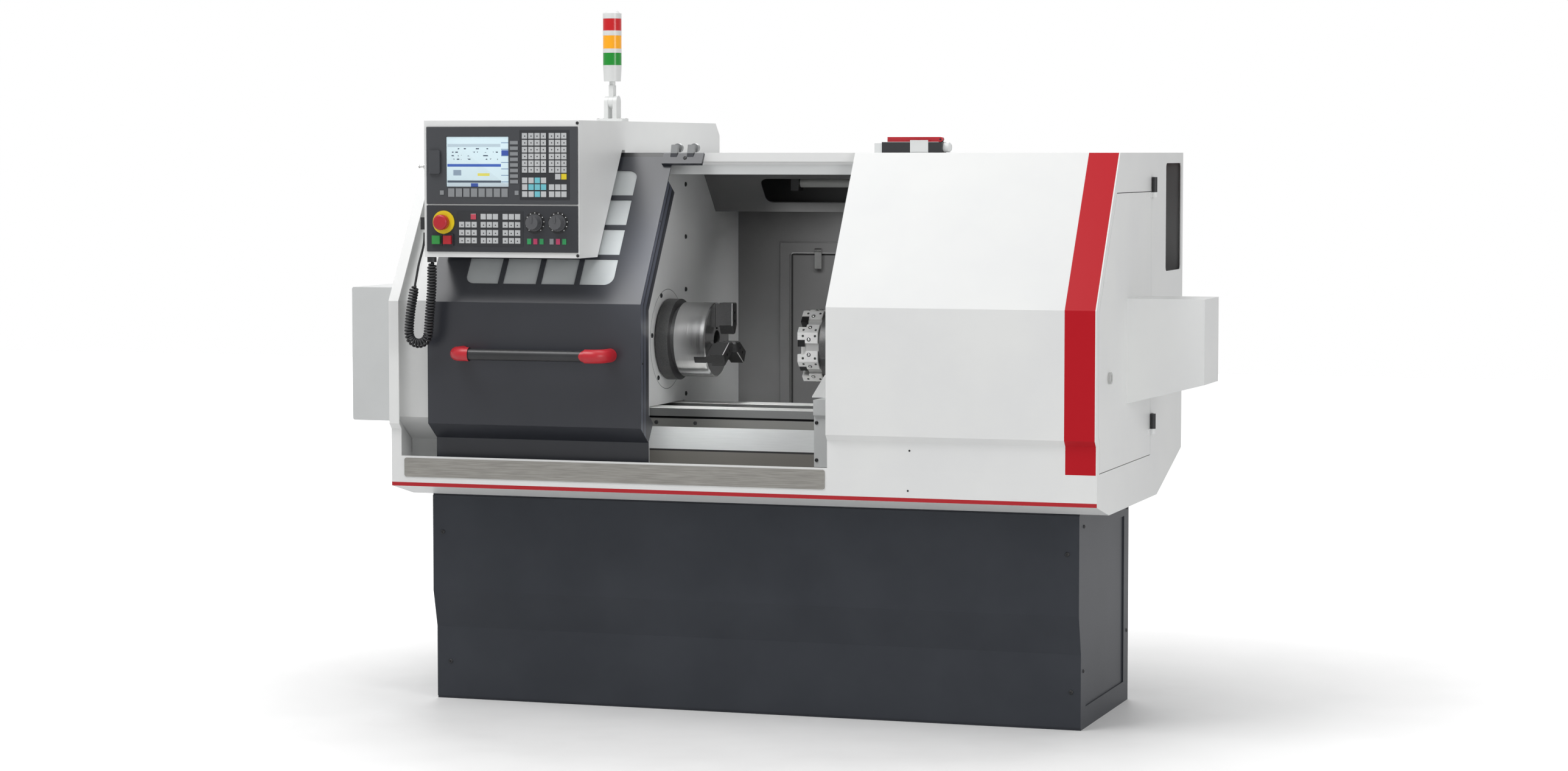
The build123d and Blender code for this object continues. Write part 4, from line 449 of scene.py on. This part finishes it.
def plate_rings(centres, across, up, size, thick, corner=2.0, edge=0.6, steps=5):
    """Rounded plates in mm: a rectangle with corner arcs, in rings at 0, thick - edge and thick (drawn in by edge)."""
    across, up = np.asarray(across, float), np.asarray(up, float)
    out = np.cross(across, up)
    t = np.linspace(0, np.pi / 2, steps)
    quarter = np.stack([np.cos(t), np.sin(t)], -1)
    turns = np.array([[[1, 0], [0, 1]], [[0, -1], [1, 0]], [[-1, 0], [0, -1]], [[0, 1], [-1, 0]]], float)
    arcs = np.einsum("qab,sb->qsa", turns, quarter)
    signs = np.array([[1, 1], [-1, 1], [-1, -1], [1, -1]], float)
    inset = np.array([0.0, 0.0, edge * 0.3, edge])
    height = np.array([0.0, thick - edge, thick - 0.3 * edge, thick])
    half = np.asarray(size, float) / 2
    spots = signs[None, :, None] * (half - corner) + arcs[None] * (corner - inset[:, None, None, None])
    spots = spots.reshape(len(inset), -1, 2)
    shape = spots[..., :1] * across + spots[..., 1:] * up + height[:, None, None] * out
    return (np.asarray(centres, float).reshape(-1, 1, 1, 3) + shape[None]) * MM

# %% [markdown]
# ## The curly cord at the console
# A hand unit's lead hangs at the console's left side. It is wound on a mandrel, so it springs back into a tight helix,
# and only its last stretch is straight. The route of the coil's middle is a smooth spline through a few points. The
# helix is wound about points read back from that spline, and the straight end follows its own route.

# %% Route and helix
CORD_Y = -518.0
coil_route = [(-797, 1183), (-797, 1128), (-801, 1078), (-806, 1032), (-808.5, 986.4), (-824.9, 970), (-848.1, 970),
              (-864.5, 986.4), (-862, 1030), (-855, 1078), (-846, 1121)]
lead_route = [(-846, 1121), (-840.6, 1146.8), (-836, 1172), (-829, 1196), (-821.5, 1220), (-817.5, 1244),
              (-817.5, 1268)]
WIRE, COIL, PITCH = 6.0, 26.0, 7.6


def spline_curve(name, points, bevel=0.0):
    """A curve of one open NURBS spline of order 3 with these control points."""
    curve = bpy.data.curves.new(name, "CURVE")
    curve.dimensions = "3D"
    spline = curve.splines.new("NURBS")
    spline.points.add(len(points) - 1)
    homogeneous = np.concatenate([points, np.ones((len(points), 1))], 1)
    spline.points.foreach_set("co", homogeneous.ravel())
    spline.use_endpoint_u = True
    spline.order_u = 3
    spline.resolution_u = 6
    curve.bevel_depth = bevel
    curve.bevel_resolution = 4
    curve.use_fill_caps = True
    piece = bpy.data.objects.new(name, curve)
    bpy.context.scene.collection.objects.link(piece)
    return piece


def read_back(points):
    """Points along the smooth spline of a route, read from its own mesh."""
    guide = spline_curve("guide", points)
    guide.data.resolution_u = 24
    line = bpy.data.meshes.new_from_object(guide.evaluated_get(bpy.context.evaluated_depsgraph_get()))
    found = np.empty(len(line.vertices) * 3)
    line.vertices.foreach_get("co", found)
    curve = guide.data
    bpy.data.objects.remove(guide)
    bpy.data.curves.remove(curve)
    bpy.data.meshes.remove(line)
    return found.reshape(-1, 3)


def in_space(route):
    return np.array([(x, CORD_Y, z) for x, z in route]) * MM


def wound(route):
    """Helix about a line: c(s) + r (cos a n + sin a b), a = 2 pi s / pitch, n square to the line, b along Y."""
    line = read_back(in_space(route))
    run = np.concatenate([[0], np.cumsum(np.linalg.norm(np.diff(line, axis=0), axis=1))])
    turns = run[-1] / (PITCH * MM)
    s = np.linspace(0, run[-1], int(turns * 14))
    middle = np.stack([np.interp(s, run, line[:, k]) for k in range(3)], -1)
    along = np.gradient(middle, axis=0)
    along /= np.linalg.norm(along, axis=1, keepdims=True)
    back = np.array([0.0, 1.0, 0.0])
    side = np.cross(back, along)
    ease = np.clip(np.minimum(s, run[-1] - s) / (14 * MM), 0, 1)
    r = (COIL - WIRE) / 2 * MM * np.sin(ease * np.pi / 2)
    a = 2 * np.pi * s / (PITCH * MM)
    return middle + r[:, None] * (np.cos(a)[:, None] * side + np.sin(a)[:, None] * back)


cord_points = np.concatenate([wound(coil_route), read_back(in_space(lead_route))[6::6]])
curly_cord = spline_curve("curly_cord", cord_points, WIRE / 2 * MM)
curly_cord.data.materials.append(FINISH["black_rubber"])
cord_length = np.linalg.norm(np.diff(read_back(cord_points), axis=0), axis=1).sum()
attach(curly_cord, "frame")
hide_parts("coil_cord", "coil_lead")
print("curly cord", len(cord_points), "points", round(cord_length, 3), "m")

# %% [markdown]
# ## The operator's console
# The console's front carries two dark plastic units: the control unit with its screen and key field, and the machine
# panel with the emergency stop, two buttons and two override knobs. The solids already have every key. What is left
# is colour: the mats under the keys are dark, the keys pale, and a few keys are coloured so that the hand finds
# them. All of it is colour by place, measured in millimetres on the console's front.

# %% Keys, collar and marks by place
FACE_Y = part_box("control_unit")[0].y / MM


def on_console(u, v):
    """Layout units of the console to mm: X = -801.5 + 0.696 (u - 352), Z = 1534.5 - 0.646 (v - 512)."""
    return -801.5 + (u - 352) * 0.696, 1534.5 - (v - 512) * 0.646


def spot(tree, axes, u, v, half=8.0):
    """Mask of one key: within half a key of its place on the console."""
    x, z = on_console(u, v)
    return both(tree, within(tree, axes["X"], x - half, x + half), within(tree, axes["Z"], z - half, z + half))


def round_spot(tree, place, x, z, radius):
    """Mask of a disc: distance from its axis along Y below the radius, as the length of the offset without its Y."""
    offset = add(tree, "VectorMath", {"operation": "SUBTRACT"}, i0=place, i1=(x * MM, 0, z * MM)).outputs[0]
    flat = add(tree, "VectorMath", {"operation": "MULTIPLY"}, i0=offset, i1=(1, 0, 1)).outputs[0]
    reach = add(tree, "VectorMath", {"operation": "LENGTH"}, i0=flat).outputs["Value"]
    return within(tree, reach, -1, radius)


material, tree, shader, parts, colour = moulded("pale_keys_on_dark_mat", "#C9CBCC", "#B9BCBE", 0.45)
coloured_keys = [(905, 710, "#E6CF2A"), (542, 873, "#C4485A"), (800, 725, "#74C6D2"), (775, 752, "#74C6D2"),
                 (800, 752, "#74C6D2"), (825, 752, "#74C6D2"), (800, 780, "#74C6D2"), (765, 970, "#2E9A5A"),
                 (790, 970, "#C23E68"), (815, 970, "#2E9A5A"), (880, 970, "#C23E68"), (905, 970, "#2E9A5A")]
LOW_KEYS, MAT = 1.8, 1.1
colour = over(tree, colour, within(tree, parts["axes"]["Y"], FACE_Y - LOW_KEYS, FACE_Y), "#8B8E91")
for u, v, code in coloured_keys:
    colour = over(tree, colour, spot(tree, parts["axes"], u, v), code)
colour = over(tree, colour, within(tree, parts["axes"]["Y"], FACE_Y - MAT, 0), "#26282C")
paint(tree, shader, colour)
refinish("key_mats", material)

# %% Panel with the stop's collar and the dials
COLLAR_R, DIAL_R = 31, 28.5
material, tree, shader, parts, colour = moulded("dark_operator_panel", "#2F3136", "#292B30", 0.45)
estop_low, estop_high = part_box("estop_button")
estop_x, estop_z = (estop_low.x + estop_high.x) / 2 / MM, (estop_low.z + estop_high.z) / 2 / MM
collar = round_spot(tree, parts["place"], estop_x, estop_z, COLLAR_R)
collar = both(tree, collar, within(tree, parts["axes"]["Y"], -600, FACE_Y - 1))
colour = over(tree, colour, collar, "#EFD51F")
for node in ("feed_knob", "speed_knob"):
    low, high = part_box(node)
    dial = round_spot(tree, parts["place"], (low.x + high.x) / 2 / MM, (low.z + high.z) / 2 / MM, DIAL_R)
    colour = over(tree, colour, dial, "#191A1C")
paint(tree, shader, colour)
refinish("machine_panel", material)
print("front of the units at Y", round(FACE_Y, 1), "stop at", round(estop_x, 1), round(estop_z, 1))

# %% [markdown]
# Dials and keys are printed on the real machine. Print is flat, so it could be colour too. Here the marks are thin
# discs and plates, because there are many in neat rows and each needs only its place. They are dots and bars, no text.

# %% Marks round the override knobs and on the keys
def knob_marks(node, count=11, radius=25.2):
    """Places of dots on a dial: centre + radius (sin a, cos a), a from -140 to 140 degrees."""
    low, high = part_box(node)
    a = np.radians(np.linspace(-140, 140, count))
    x = (low.x + high.x) / 2 / MM + radius * np.sin(a)
    z = (low.z + high.z) / 2 / MM + radius * np.cos(a)
    return np.stack([x, np.full(count, FACE_Y), z], -1)


dots = np.concatenate([knob_marks("feed_knob"), knob_marks("speed_knob")])
dot_profile = [(0.01, 0), (1.5, 0), (1.5, 0.3), (1.2, 0.45), (0.01, 0.45)]
skin("dial_dots", turned_rings(dot_profile, dots, (0, -1, 0), 10), "frame", FINISH["pale_plastic"])

columns = np.array([750, 775, 799, 824, 857, 881, 906.0])
rows = np.array([549, 576, 603, 630, 656, 683.0])
letters = np.stack(np.meshgrid(columns, rows), -1).reshape(-1, 2)
low_columns = np.array([496, 520, 544, 583, 607, 631, 670, 694, 719.0])
low_rows = np.array([905, 937, 968.0])
lower_keys = np.stack(np.meshgrid(low_columns, low_rows), -1).reshape(-1, 2)
mark_x, mark_z = on_console(*np.concatenate([letters, lower_keys]).T)
key_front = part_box("key_mats")[0].y / MM
mark_places = np.stack([mark_x, np.full(len(mark_x), key_front + 0.02), mark_z], -1)
skin("key_marks", plate_rings(mark_places, (1, 0, 0), (0, 0, 1), (3.4, 3.0), 0.25, 0.8, 0.1, 3), "frame",
     FINISH["black_plastic"])
print("dots", len(dots), "key marks", len(mark_places))

# %% [markdown]
# The screen is a glass sheet in a sunk window. Its picture is only fields of colour: a pale page, a blue band, a row
# and a column of soft keys, and short dark dashes where figures would be. It glows a little, as a lit screen does.

# %% Screen
screen_x, screen_z = on_console(np.array([432, 683]), np.array([752, 550]))
material, tree, shader, parts, colour = moulded("lit_screen_glass", "#DDF0F6", "#D3EAF2", 0.12, 30.0, 0.0)
axes = parts["axes"]


def screen_field(colour, u0, u1, v0, v1, code):
    x, z = on_console(np.array([u0, u1]), np.array([v1, v0]))
    mask = both(tree, within(tree, axes["X"], x[0], x[1]), within(tree, axes["Z"], z[0], z[1]))
    return over(tree, colour, mask, code)


LINE_PITCH, DASH = 9.0, 11
lines = add(tree, "Math", {"operation": "MULTIPLY"}, i0=axes["Z"], i1=2 * np.pi / (LINE_PITCH * MM)).outputs[0]
lines = add(tree, "Math", {"operation": "SINE"}, i0=lines).outputs[0]
wide = add(tree, "Mapping", Vector=parts["place"], Scale=(1, 1, 0.6)).outputs["Vector"]
words = add(tree, "TexNoise", Vector=wide, Scale=per_mm(DASH), Detail=1.0).outputs["Fac"]
# within counts in thousandths, so these are a sine above 0.55 and a noise above 0.565
dashes = both(tree, within(tree, lines, 550, 2000), within(tree, words, 565, 2000))
left, right = on_console(np.array([452, 640]), np.array([0, 0]))[0]
low, high = on_console(np.array([0, 0]), np.array([650, 590]))[1]
page = both(tree, within(tree, axes["X"], left, right), within(tree, axes["Z"], low, high))
colour = screen_field(colour, 437, 650, 580, 592, "#B9CBD6")
colour = over(tree, colour, both(tree, dashes, page), "#2F3B52")
colour = screen_field(colour, 436, 652, 660, 671, "#3E62B8")
colour = screen_field(colour, 436, 652, 726, 735, "#4E5A68")
colour = screen_field(colour, 436, 682, 736, 752, "#C9D8E0")
colour = screen_field(colour, 531, 560, 737, 751, "#3653A6")
colour = screen_field(colour, 558, 606, 697, 708, "#E6DF6A")
colour = screen_field(colour, 460, 492, 684, 706, "#8FA2B4")
colour = screen_field(colour, 654, 682, 605, 628, "#3653A6")
for v in range(574, 740, 26):
    colour = screen_field(colour, 653, 682, v, v + 3, "#6F8FB0")
paint(tree, shader, colour)
tree.links.new(colour, shader.inputs["Emission Color"])
shader.inputs["Emission Strength"].default_value = 0.12
SUNK, PLAY = 2.9, 1.2
screen_middle = [screen_x.mean(), FACE_Y + SUNK, screen_z.mean()]
screen_size = (screen_x[1] - screen_x[0] - PLAY, screen_z[1] - screen_z[0] - PLAY)
skin("screen_glass", plate_rings(screen_middle, (1, 0, 0), (0, 0, 1), screen_size, 1.4, 1.5, 0.4), "frame",
     material)
print("screen mm", np.round(screen_x, 1).tolist(), np.round(screen_z, 1).tolist())

# %% [markdown]
# ## Finishes that change from place to place
# Several solids carry more than one finish on the real machine: the cabin's back wall is grey inside and white
# outside, the block on the roof has a grey cap and a white knob, and the rollers are bright on a dark bracket. Each
# of these is one solid here, so the finish looks at the place in millimetres and picks the colour.

# %% Solids with two coats
def patched(name, node, base, patches):
    """One finish for a node: a base coat, then (axis, low, high, hex) patches laid over it in order."""
    material, tree, shader, parts, colour = base(name)
    for axis, low, high, code in patches:
        colour = over(tree, colour, within(tree, parts["axes"][axis], low, high), code)
    paint(tree, shader, colour)
    refinish(node, material)
    return material, tree, shader, parts, colour


def dark_block(name):
    return moulded(name, "#2A2B2D", "#222325", 0.4)


def lamp_tube(name):
    return moulded(name, "#C9CBC8", "#BDBFBC", 0.25, 30.0, 0.0)


patched("back_wall_grey_inside_white_outside", "back_panel", grey_inside, [("Y", 557.5, 600, "#E6E7E7")])
hatch_edges = [("X", -165, -153, "#2B2B2B"), ("Z", 1177, 1190, "#2B2B2B"), ("Y", 557.5, 600, "#E6E7E7")]
patched("hatch_grey_inside_white_outside", "rear_hatch", grey_inside, hatch_edges)
# the grey band is the rail; the thin line above it, lighter than the white coat, is a painted highlight on its top
# edge
rail_band_and_highlight = [("Z", 1405, 1437, "#D0D2D2"), ("Z", 1437, 1440, "#F6F6F6")]
patched("white_roof_rail_painted_highlight", "roof_panel", white_coat, rail_band_and_highlight)
valve_parts = [("X", 262, 283.2, "#8E9091"), ("Y", -40, -27, "#DADCDC"), ("X", 283.2, 361.3, "#26272A"),
               ("X", 410.7, 448.2, "#26272A"), ("X", 448.2, 480, "#DADCDC")]
patched("roof_block_with_pale_ends", "roof_valve", dark_block, valve_parts)
patched("steel_rollers_dark_bracket", "door_rollers", dark_coat, [("Z", 1467, 1500, "#8B8D8E")])
sockets = [("X", -79, -55, "#3A3B3C"), ("X", 297, 330, "#3A3B3C")]
patched("lamp_tube_dark_sockets", "work_light", lamp_tube, sockets)
refinish("carriage", FINISH["grey_paint"])
print("two coats on back wall, hatch, roof, roof block, rollers and lamp")

# %% [markdown]
# The door has a black rubber lip along its top and a seal let into its right edge: two black lines at a constant
# depth behind the folded face. The two bands beside them are the door's dark coat drawn lighter, a painted highlight
# on the edge. Depth is a distance to a plane, and the face has two planes, one upright and one leaning, so the depth
# is the smaller of the two distances. The same trick of measuring by formula gives the thin round seam of the cover
# plate about the spindle, where the measure is the distance from the spindle's axis.

# %% Door edge and round seam
CREASE_Y, CREASE_Z, LEAN_IN, LEAN_UP = -472.0, 1078.0, 0.836, 0.549
material, tree, shader, parts, colour = dark_coat("anthracite_door_seals_painted_edge_highlight")
behind = add(tree, "Math", {"operation": "SUBTRACT"}, i0=parts["axes"]["Y"], i1=CREASE_Y * MM).outputs[0]
above = add(tree, "Math", {"operation": "SUBTRACT"}, i0=parts["axes"]["Z"], i1=CREASE_Z * MM).outputs[0]
lean = add(tree, "Math", {"operation": "MULTIPLY"}, i0=behind, i1=LEAN_IN).outputs[0]
drop = add(tree, "Math", {"operation": "MULTIPLY"}, i0=above, i1=LEAN_UP).outputs[0]
lean = add(tree, "Math", {"operation": "SUBTRACT"}, i0=lean, i1=drop).outputs[0]
depth = add(tree, "Math", {"operation": "MINIMUM"}, i0=behind, i1=lean).outputs[0]
edge = within(tree, parts["axes"]["X"], -234.5, -230)
# depth bands on the right edge: the two black ones are the seal, the two lighter ones are painted highlight on the
# edge
for low, high, code in ((3, 17, "#565A66"), (17, 22, "#17181A"), (22, 40, "#4C505B"), (40, 45, "#17181A")):
    colour = over(tree, colour, both(tree, edge, within(tree, depth, low, high)), code)
colour = over(tree, colour, within(tree, parts["axes"]["Z"], 1457, 1480), "#17181A")
paint(tree, shader, colour)
refinish("front_door", material)

SPINDLE_Y, SPINDLE_Z = -38.0, 966.0
material, tree, shader, parts, colour = white_coat("white_wall_round_seam")
offset = add(tree, "VectorMath", {"operation": "SUBTRACT"}, i0=parts["place"],
             i1=(0, SPINDLE_Y * MM, SPINDLE_Z * MM)).outputs[0]
offset = add(tree, "VectorMath", {"operation": "MULTIPLY"}, i0=offset, i1=(0, 1, 1)).outputs[0]
reach = add(tree, "VectorMath", {"operation": "LENGTH"}, i0=offset).outputs["Value"]
seam = both(tree, within(tree, reach, 133.4, 134.8), within(tree, parts["axes"]["X"], -330, -310))
paint(tree, shader, over(tree, colour, seam, "#55585A"))
refinish("headstock_cover", material)
print("door edge and spindle seam by distance")

# %% [markdown]
# ## Turret and chuck
# The turret repeats one side eight times and the chuck one jaw three times. Rather than paint each copy, the place is
# folded: its angle round the axis is wrapped into one sector, and turned back into a distance outwards and one
# along the side. One mask then serves all copies, also when the turret is indexed, because it turns with its solid.

# %% Folded finishes
def folded(tree, place, y, z, step):
    """Angle a = atan2(-dy, dz) wrapped to half a step each way: out = r cos a, along = r sin a, r the distance."""
    offset = add(tree, "VectorMath", {"operation": "SUBTRACT"}, i0=place, i1=(0, y * MM, z * MM)).outputs[0]
    offset = add(tree, "VectorMath", {"operation": "MULTIPLY"}, i0=offset, i1=(0, -1, 1)).outputs[0]
    reach = add(tree, "VectorMath", {"operation": "LENGTH"}, i0=offset).outputs["Value"]
    sides = add(tree, "SeparateXYZ", Vector=offset).outputs
    angle = add(tree, "Math", {"operation": "ARCTAN2"}, i0=sides["Y"], i1=sides["Z"]).outputs[0]
    half = math.radians(step / 2)
    angle = add(tree, "Math", {"operation": "WRAP"}, i0=angle, i1=half, i2=-half).outputs[0]
    sine = add(tree, "Math", {"operation": "SINE"}, i0=angle).outputs[0]
    cosine = add(tree, "Math", {"operation": "COSINE"}, i0=angle).outputs[0]
    out = add(tree, "Math", {"operation": "MULTIPLY"}, i0=reach, i1=cosine).outputs[0]
    along = add(tree, "Math", {"operation": "MULTIPLY"}, i0=reach, i1=sine).outputs[0]
    return out, along


TURRET_Y, TURRET_Z, TURRET_OUT = 112.0, 947.0, 95.0
material, tree, shader, parts, colour = cut_metal(
    "nickel_turret_dark_pocket_halves", "#DEDEDD", "#D4D4D3", 0.32, (0.2, 1, 1), 2.0, 0.004, 0.6
)
out, along = folded(tree, parts["place"], TURRET_Y, TURRET_Z, 45)
pocket = both(tree, within(tree, parts["axes"]["X"], 30, 54.4), within(tree, out, 58, 93.2))
# one half of each pocket, beside its slot, is drawn near black
dark_pocket_half = both(tree, pocket, within(tree, along, -19.6, -0.8))
# the floor and walls of the groove along the middle of each side are drawn darker: painted shade in the groove
groove_shade = both(tree, within(tree, out, 86, 90), within(tree, along, -10.6, 10.6))
colour = over(tree, colour, groove_shade, "#AEAEAD")
paint(tree, shader, over(tree, colour, dark_pocket_half, "#1C1C1D"))
refinish("turret_disc", material)

material, tree, shader, parts, colour = cut_metal(
    "blackened_jaws_painted_edge_highlight", "#3A3A3A", "#333334", 0.36, (1, 1, 1), 3.0, 0.004, 0.5
)
out, along = folded(tree, parts["place"], SPINDLE_Y, SPINDLE_Z, 120)
aside = add(tree, "Math", {"operation": "ABSOLUTE"}, i0=along).outputs[0]
# a thin line along both front edges of each jaw is drawn bright: a painted highlight
edge_highlight = both(tree, within(tree, aside, 16.5, 17.9), within(tree, parts["axes"]["X"], -128.2, -125.3))
paint(tree, shader, over(tree, colour, edge_highlight, "#C9C9C8"))
for k in (1, 2, 3):
    refinish(f"chuck_jaw_{k}", material)

material, tree, shader, parts, colour = cut_metal(
    "turned_chuck_steel", "#D4D4D4", "#CCCCCC", 0.22, (1, 0.004, 0.004), 2.5, 0.004
)
refinish("chuck_body", material)
knob_finish = moulded("grey_knob_abs", "#5A5B5E", "#505154", 0.4)[0]
for knob in ("feed_knob", "speed_knob"):
    refinish(knob, knob_finish)
print("turret, jaws and chuck folded")

# %% [markdown]
# ## Screws and other small fasteners
# Dozens of small screws hold the sheets. Each is a button head with a round socket, turned from one profile. To set a
# screw on its sheet, a ray is cast from outside against the solid's own mesh, and the head sits where the ray lands.

# %% Screw heads
def seat(node, places, axis):
    """Where rays along -axis from 250 mm outside land on a node, in mm."""
    axis = Vector(axis).normalized()
    found = []
    for place in places:
        start = Vector(place) * MM + axis * 0.25
        landed, spot_on, _, _ = frame["nodes"][node].ray_cast(start, -axis)
        assert landed, f"no {node} below {place}"
        found.append(list(spot_on / MM))
    return np.array(found)


def button_head(radius):
    """Profile of a button head: flat foot, short wall, dome, and a socket sunk in the crown."""
    shares = [(0.01, 0), (1, 0), (1, 0.22), (0.86, 0.42), (0.55, 0.54), (0.46, 0.54), (0.42, 0.2), (0.01, 0.2)]
    return np.array(shares) * radius


def screws(name, node, places, axis, radius, body="frame", finish="black_plastic"):
    rings = turned_rings(button_head(radius), seat(node, places, axis), axis, 14)
    return skin(name, rings, body, FINISH[finish])


screws("base_screws", "base_front_panel", [(-857, -330, 453), (-847, -330, 101), (861, -330, 453), (867, -330, 98)],
       (0, -1, 0), 6.0)
screws("base_end_screws", "base_frame", [(900, -270, 150), (900, 232, 190), (900, -270, 520), (900, 232, 520)],
       (1, 0, 0), 5.0)
screws("console_screws", "console_housing", [(-381.5, -540, 1544), (-381.5, -540, 1203.5)], (0, -1, 0), 4.2)
wall_places = [(-310, 108, z) for z in (1382, 1239, 1095, 809)]
wall_places += [(-310, -88, 1085), (-310, -160, 981), (-310, -112, 865)]
screws("cabin_wall_screws", "headstock_cover", wall_places, (1, 0, 0), 6.5)
screws("apron_screws", "carriage", [(165, -240, 764), (165, -240, 666)], (0, -1, 0), 5.0, "carriage")
screws("bed_strip_screws", "bed", [(-299, -185, 751), (-188.8, -185, 751)], (0, -1, 0), 5.5)
screws("guard_screws", "right_guard", [(484, -480, 717.8)], (0, -1, 0), 2.6)
screws("tray_screws", "chip_tray", [(480, -470, 616)], (0, -1, 0), 2.6)
screws("bracket_screw", "door_rollers", [(-194.8, -250, 1462)], (0, -LEAN_IN, LEAN_UP), 5.0, "front_door")
screws("door_edge_screws", "front_door", [(-230, -459, 924), (-230, -322, 1290)], (1, 0, 0), 3.0, "front_door")
foot_places = [(x, y, 1700) for x in (-468, -405) for y in (-160, -116)]
screws("tower_foot_screws", "tower_foot", foot_places, (0, 0, 1), 3.0, "frame", "polished_steel")
print("screws placed in 11 groups")

# %% [markdown]
# Each side of the turret has clamping screws and two coolant nozzles, a ball in a collar that can be aimed. One
# profile is turned for each kind and set on all eight sides by the angle of the side. The jaw bolts sit in the
# counterbores of the jaws, on the same angles as the jaws, and travel with them.

# %% Turret screws and coolant nozzles, jaw bolts
SIDES = np.radians(np.arange(8) * 45.0)


def round_turret(x, along):
    """Places on all eight sides: centre + out (-sin a, cos a) + along (cos a, sin a) in Y and Z."""
    a = SIDES[:, None]
    along = np.asarray(along, float)[None]
    y = TURRET_Y - TURRET_OUT * np.sin(a) + along * np.cos(a)
    z = TURRET_Z + TURRET_OUT * np.cos(a) + along * np.sin(a)
    return np.stack([np.full(y.shape, x), y, z], -1)


def on_sides(profile, x, along):
    """A profile turned at these places on every side, about the side's own normal."""
    return np.concatenate([turned_rings(profile, places, (0, -np.sin(a), np.cos(a)), 14)
                           for a, places in zip(SIDES, round_turret(x, along))])


SCREW_X, NOZZLE_X, SCREW_ALONG, NOZZLE_ALONG = (48.8, 83.0), 65.5, (-30, 30), (-20.5, 20.5)
hole = [(0.01, 0), (3.4, 0), (3.4, 0.25), (3.0, 0.4), (0.01, 0.4)]
rings = np.concatenate([on_sides(hole, x, SCREW_ALONG) for x in SCREW_X])
skin("turret_screws", rings, "turret", FINISH["black_plastic"])
collar = [(0.01, 0), (5.6, 0), (5.6, 0.5), (4.8, 0.8), (0.01, 0.8)]
skin("nozzle_collars", on_sides(collar, NOZZLE_X, NOZZLE_ALONG), "turret",
     FINISH["black_plastic"])
ball = [(4.1 * math.cos(b), 0.3 + 2.2 * math.sin(b)) for b in np.linspace(0, math.pi / 2 - 0.01, 6)]
skin("nozzle_balls", on_sides([(0.01, 0.2)] + ball, NOZZLE_X, NOZZLE_ALONG), "turret",
     FINISH["polished_steel"])

BOLT_X, BOLT_OUT = -133.0, (50, 73)
bolt = [(0.01, 0), (4.2, 0), (4.2, 5.6), (3.7, 6.2), (2.3, 6.2), (2.1, 3.4), (0.01, 3.4)]
for k, turn in ((1, 0), (2, 120), (3, 240)):
    a = math.radians(turn)
    places = [(BOLT_X, SPINDLE_Y - r * math.sin(a), SPINDLE_Z + r * math.cos(a)) for r in BOLT_OUT]
    skin(f"jaw_bolts_{k}", turned_rings(bolt, places, (1, 0, 0), 16), f"jaw_{k}", FINISH["polished_steel"])
print("turret and jaw fittings placed")

# %% [markdown]
# ## Hatch frame and console hook
# Round the hatch in the back wall runs a flat frame that stiffens the sheet: two uprights and a head, all rounded
# plates. On the console's left side sits a small hook for the hand unit: a foot, a thin neck and a round end, turned
# in one piece.

# %% Hatch frame and hook
WALL_Y, FRAME_WIDE = 556.0, 30.0
hatch_left, hatch_right, hatch_low, hatch_high = -163.0, 383.0, 697.0, 1187.0
middle_x, middle_z = (hatch_left + hatch_right) / 2, (hatch_low + hatch_high) / 2
uprights = [(hatch_left - FRAME_WIDE / 2, WALL_Y, middle_z), (hatch_right + FRAME_WIDE / 2, WALL_Y, middle_z)]
tall, long = hatch_high - hatch_low, hatch_right - hatch_left + 2 * FRAME_WIDE
skin("hatch_frame_uprights", plate_rings(uprights, (1, 0, 0), (0, 0, 1), (FRAME_WIDE, tall), 2.5, 1.0, 0.8), "frame",
     FINISH["interior_paint"])
skin("hatch_frame_head", plate_rings([(middle_x, WALL_Y, hatch_high + FRAME_WIDE / 2)], (1, 0, 0), (0, 0, 1),
     (long, FRAME_WIDE), 2.5, 1.0, 0.8), "frame", FINISH["interior_paint"])
hook = [(0.01, 0), (9, 0), (9, 2), (7.5, 3.2), (3.2, 4), (2.6, 8), (2.6, 15), (4.2, 16.2), (4.2, 18.4), (3.2, 19.4),
        (0.01, 19.4)]
hook_place = seat("console_housing", [(-820, -526, 1432)], (-1, 0, 0))
skin("console_hook", turned_rings(hook, hook_place, (-1, 0, 0), 18), "frame", FINISH["polished_steel"])
print("hatch frame and hook placed")

# %% View transform
bpy.context.scene.view_settings.view_transform = "Standard"
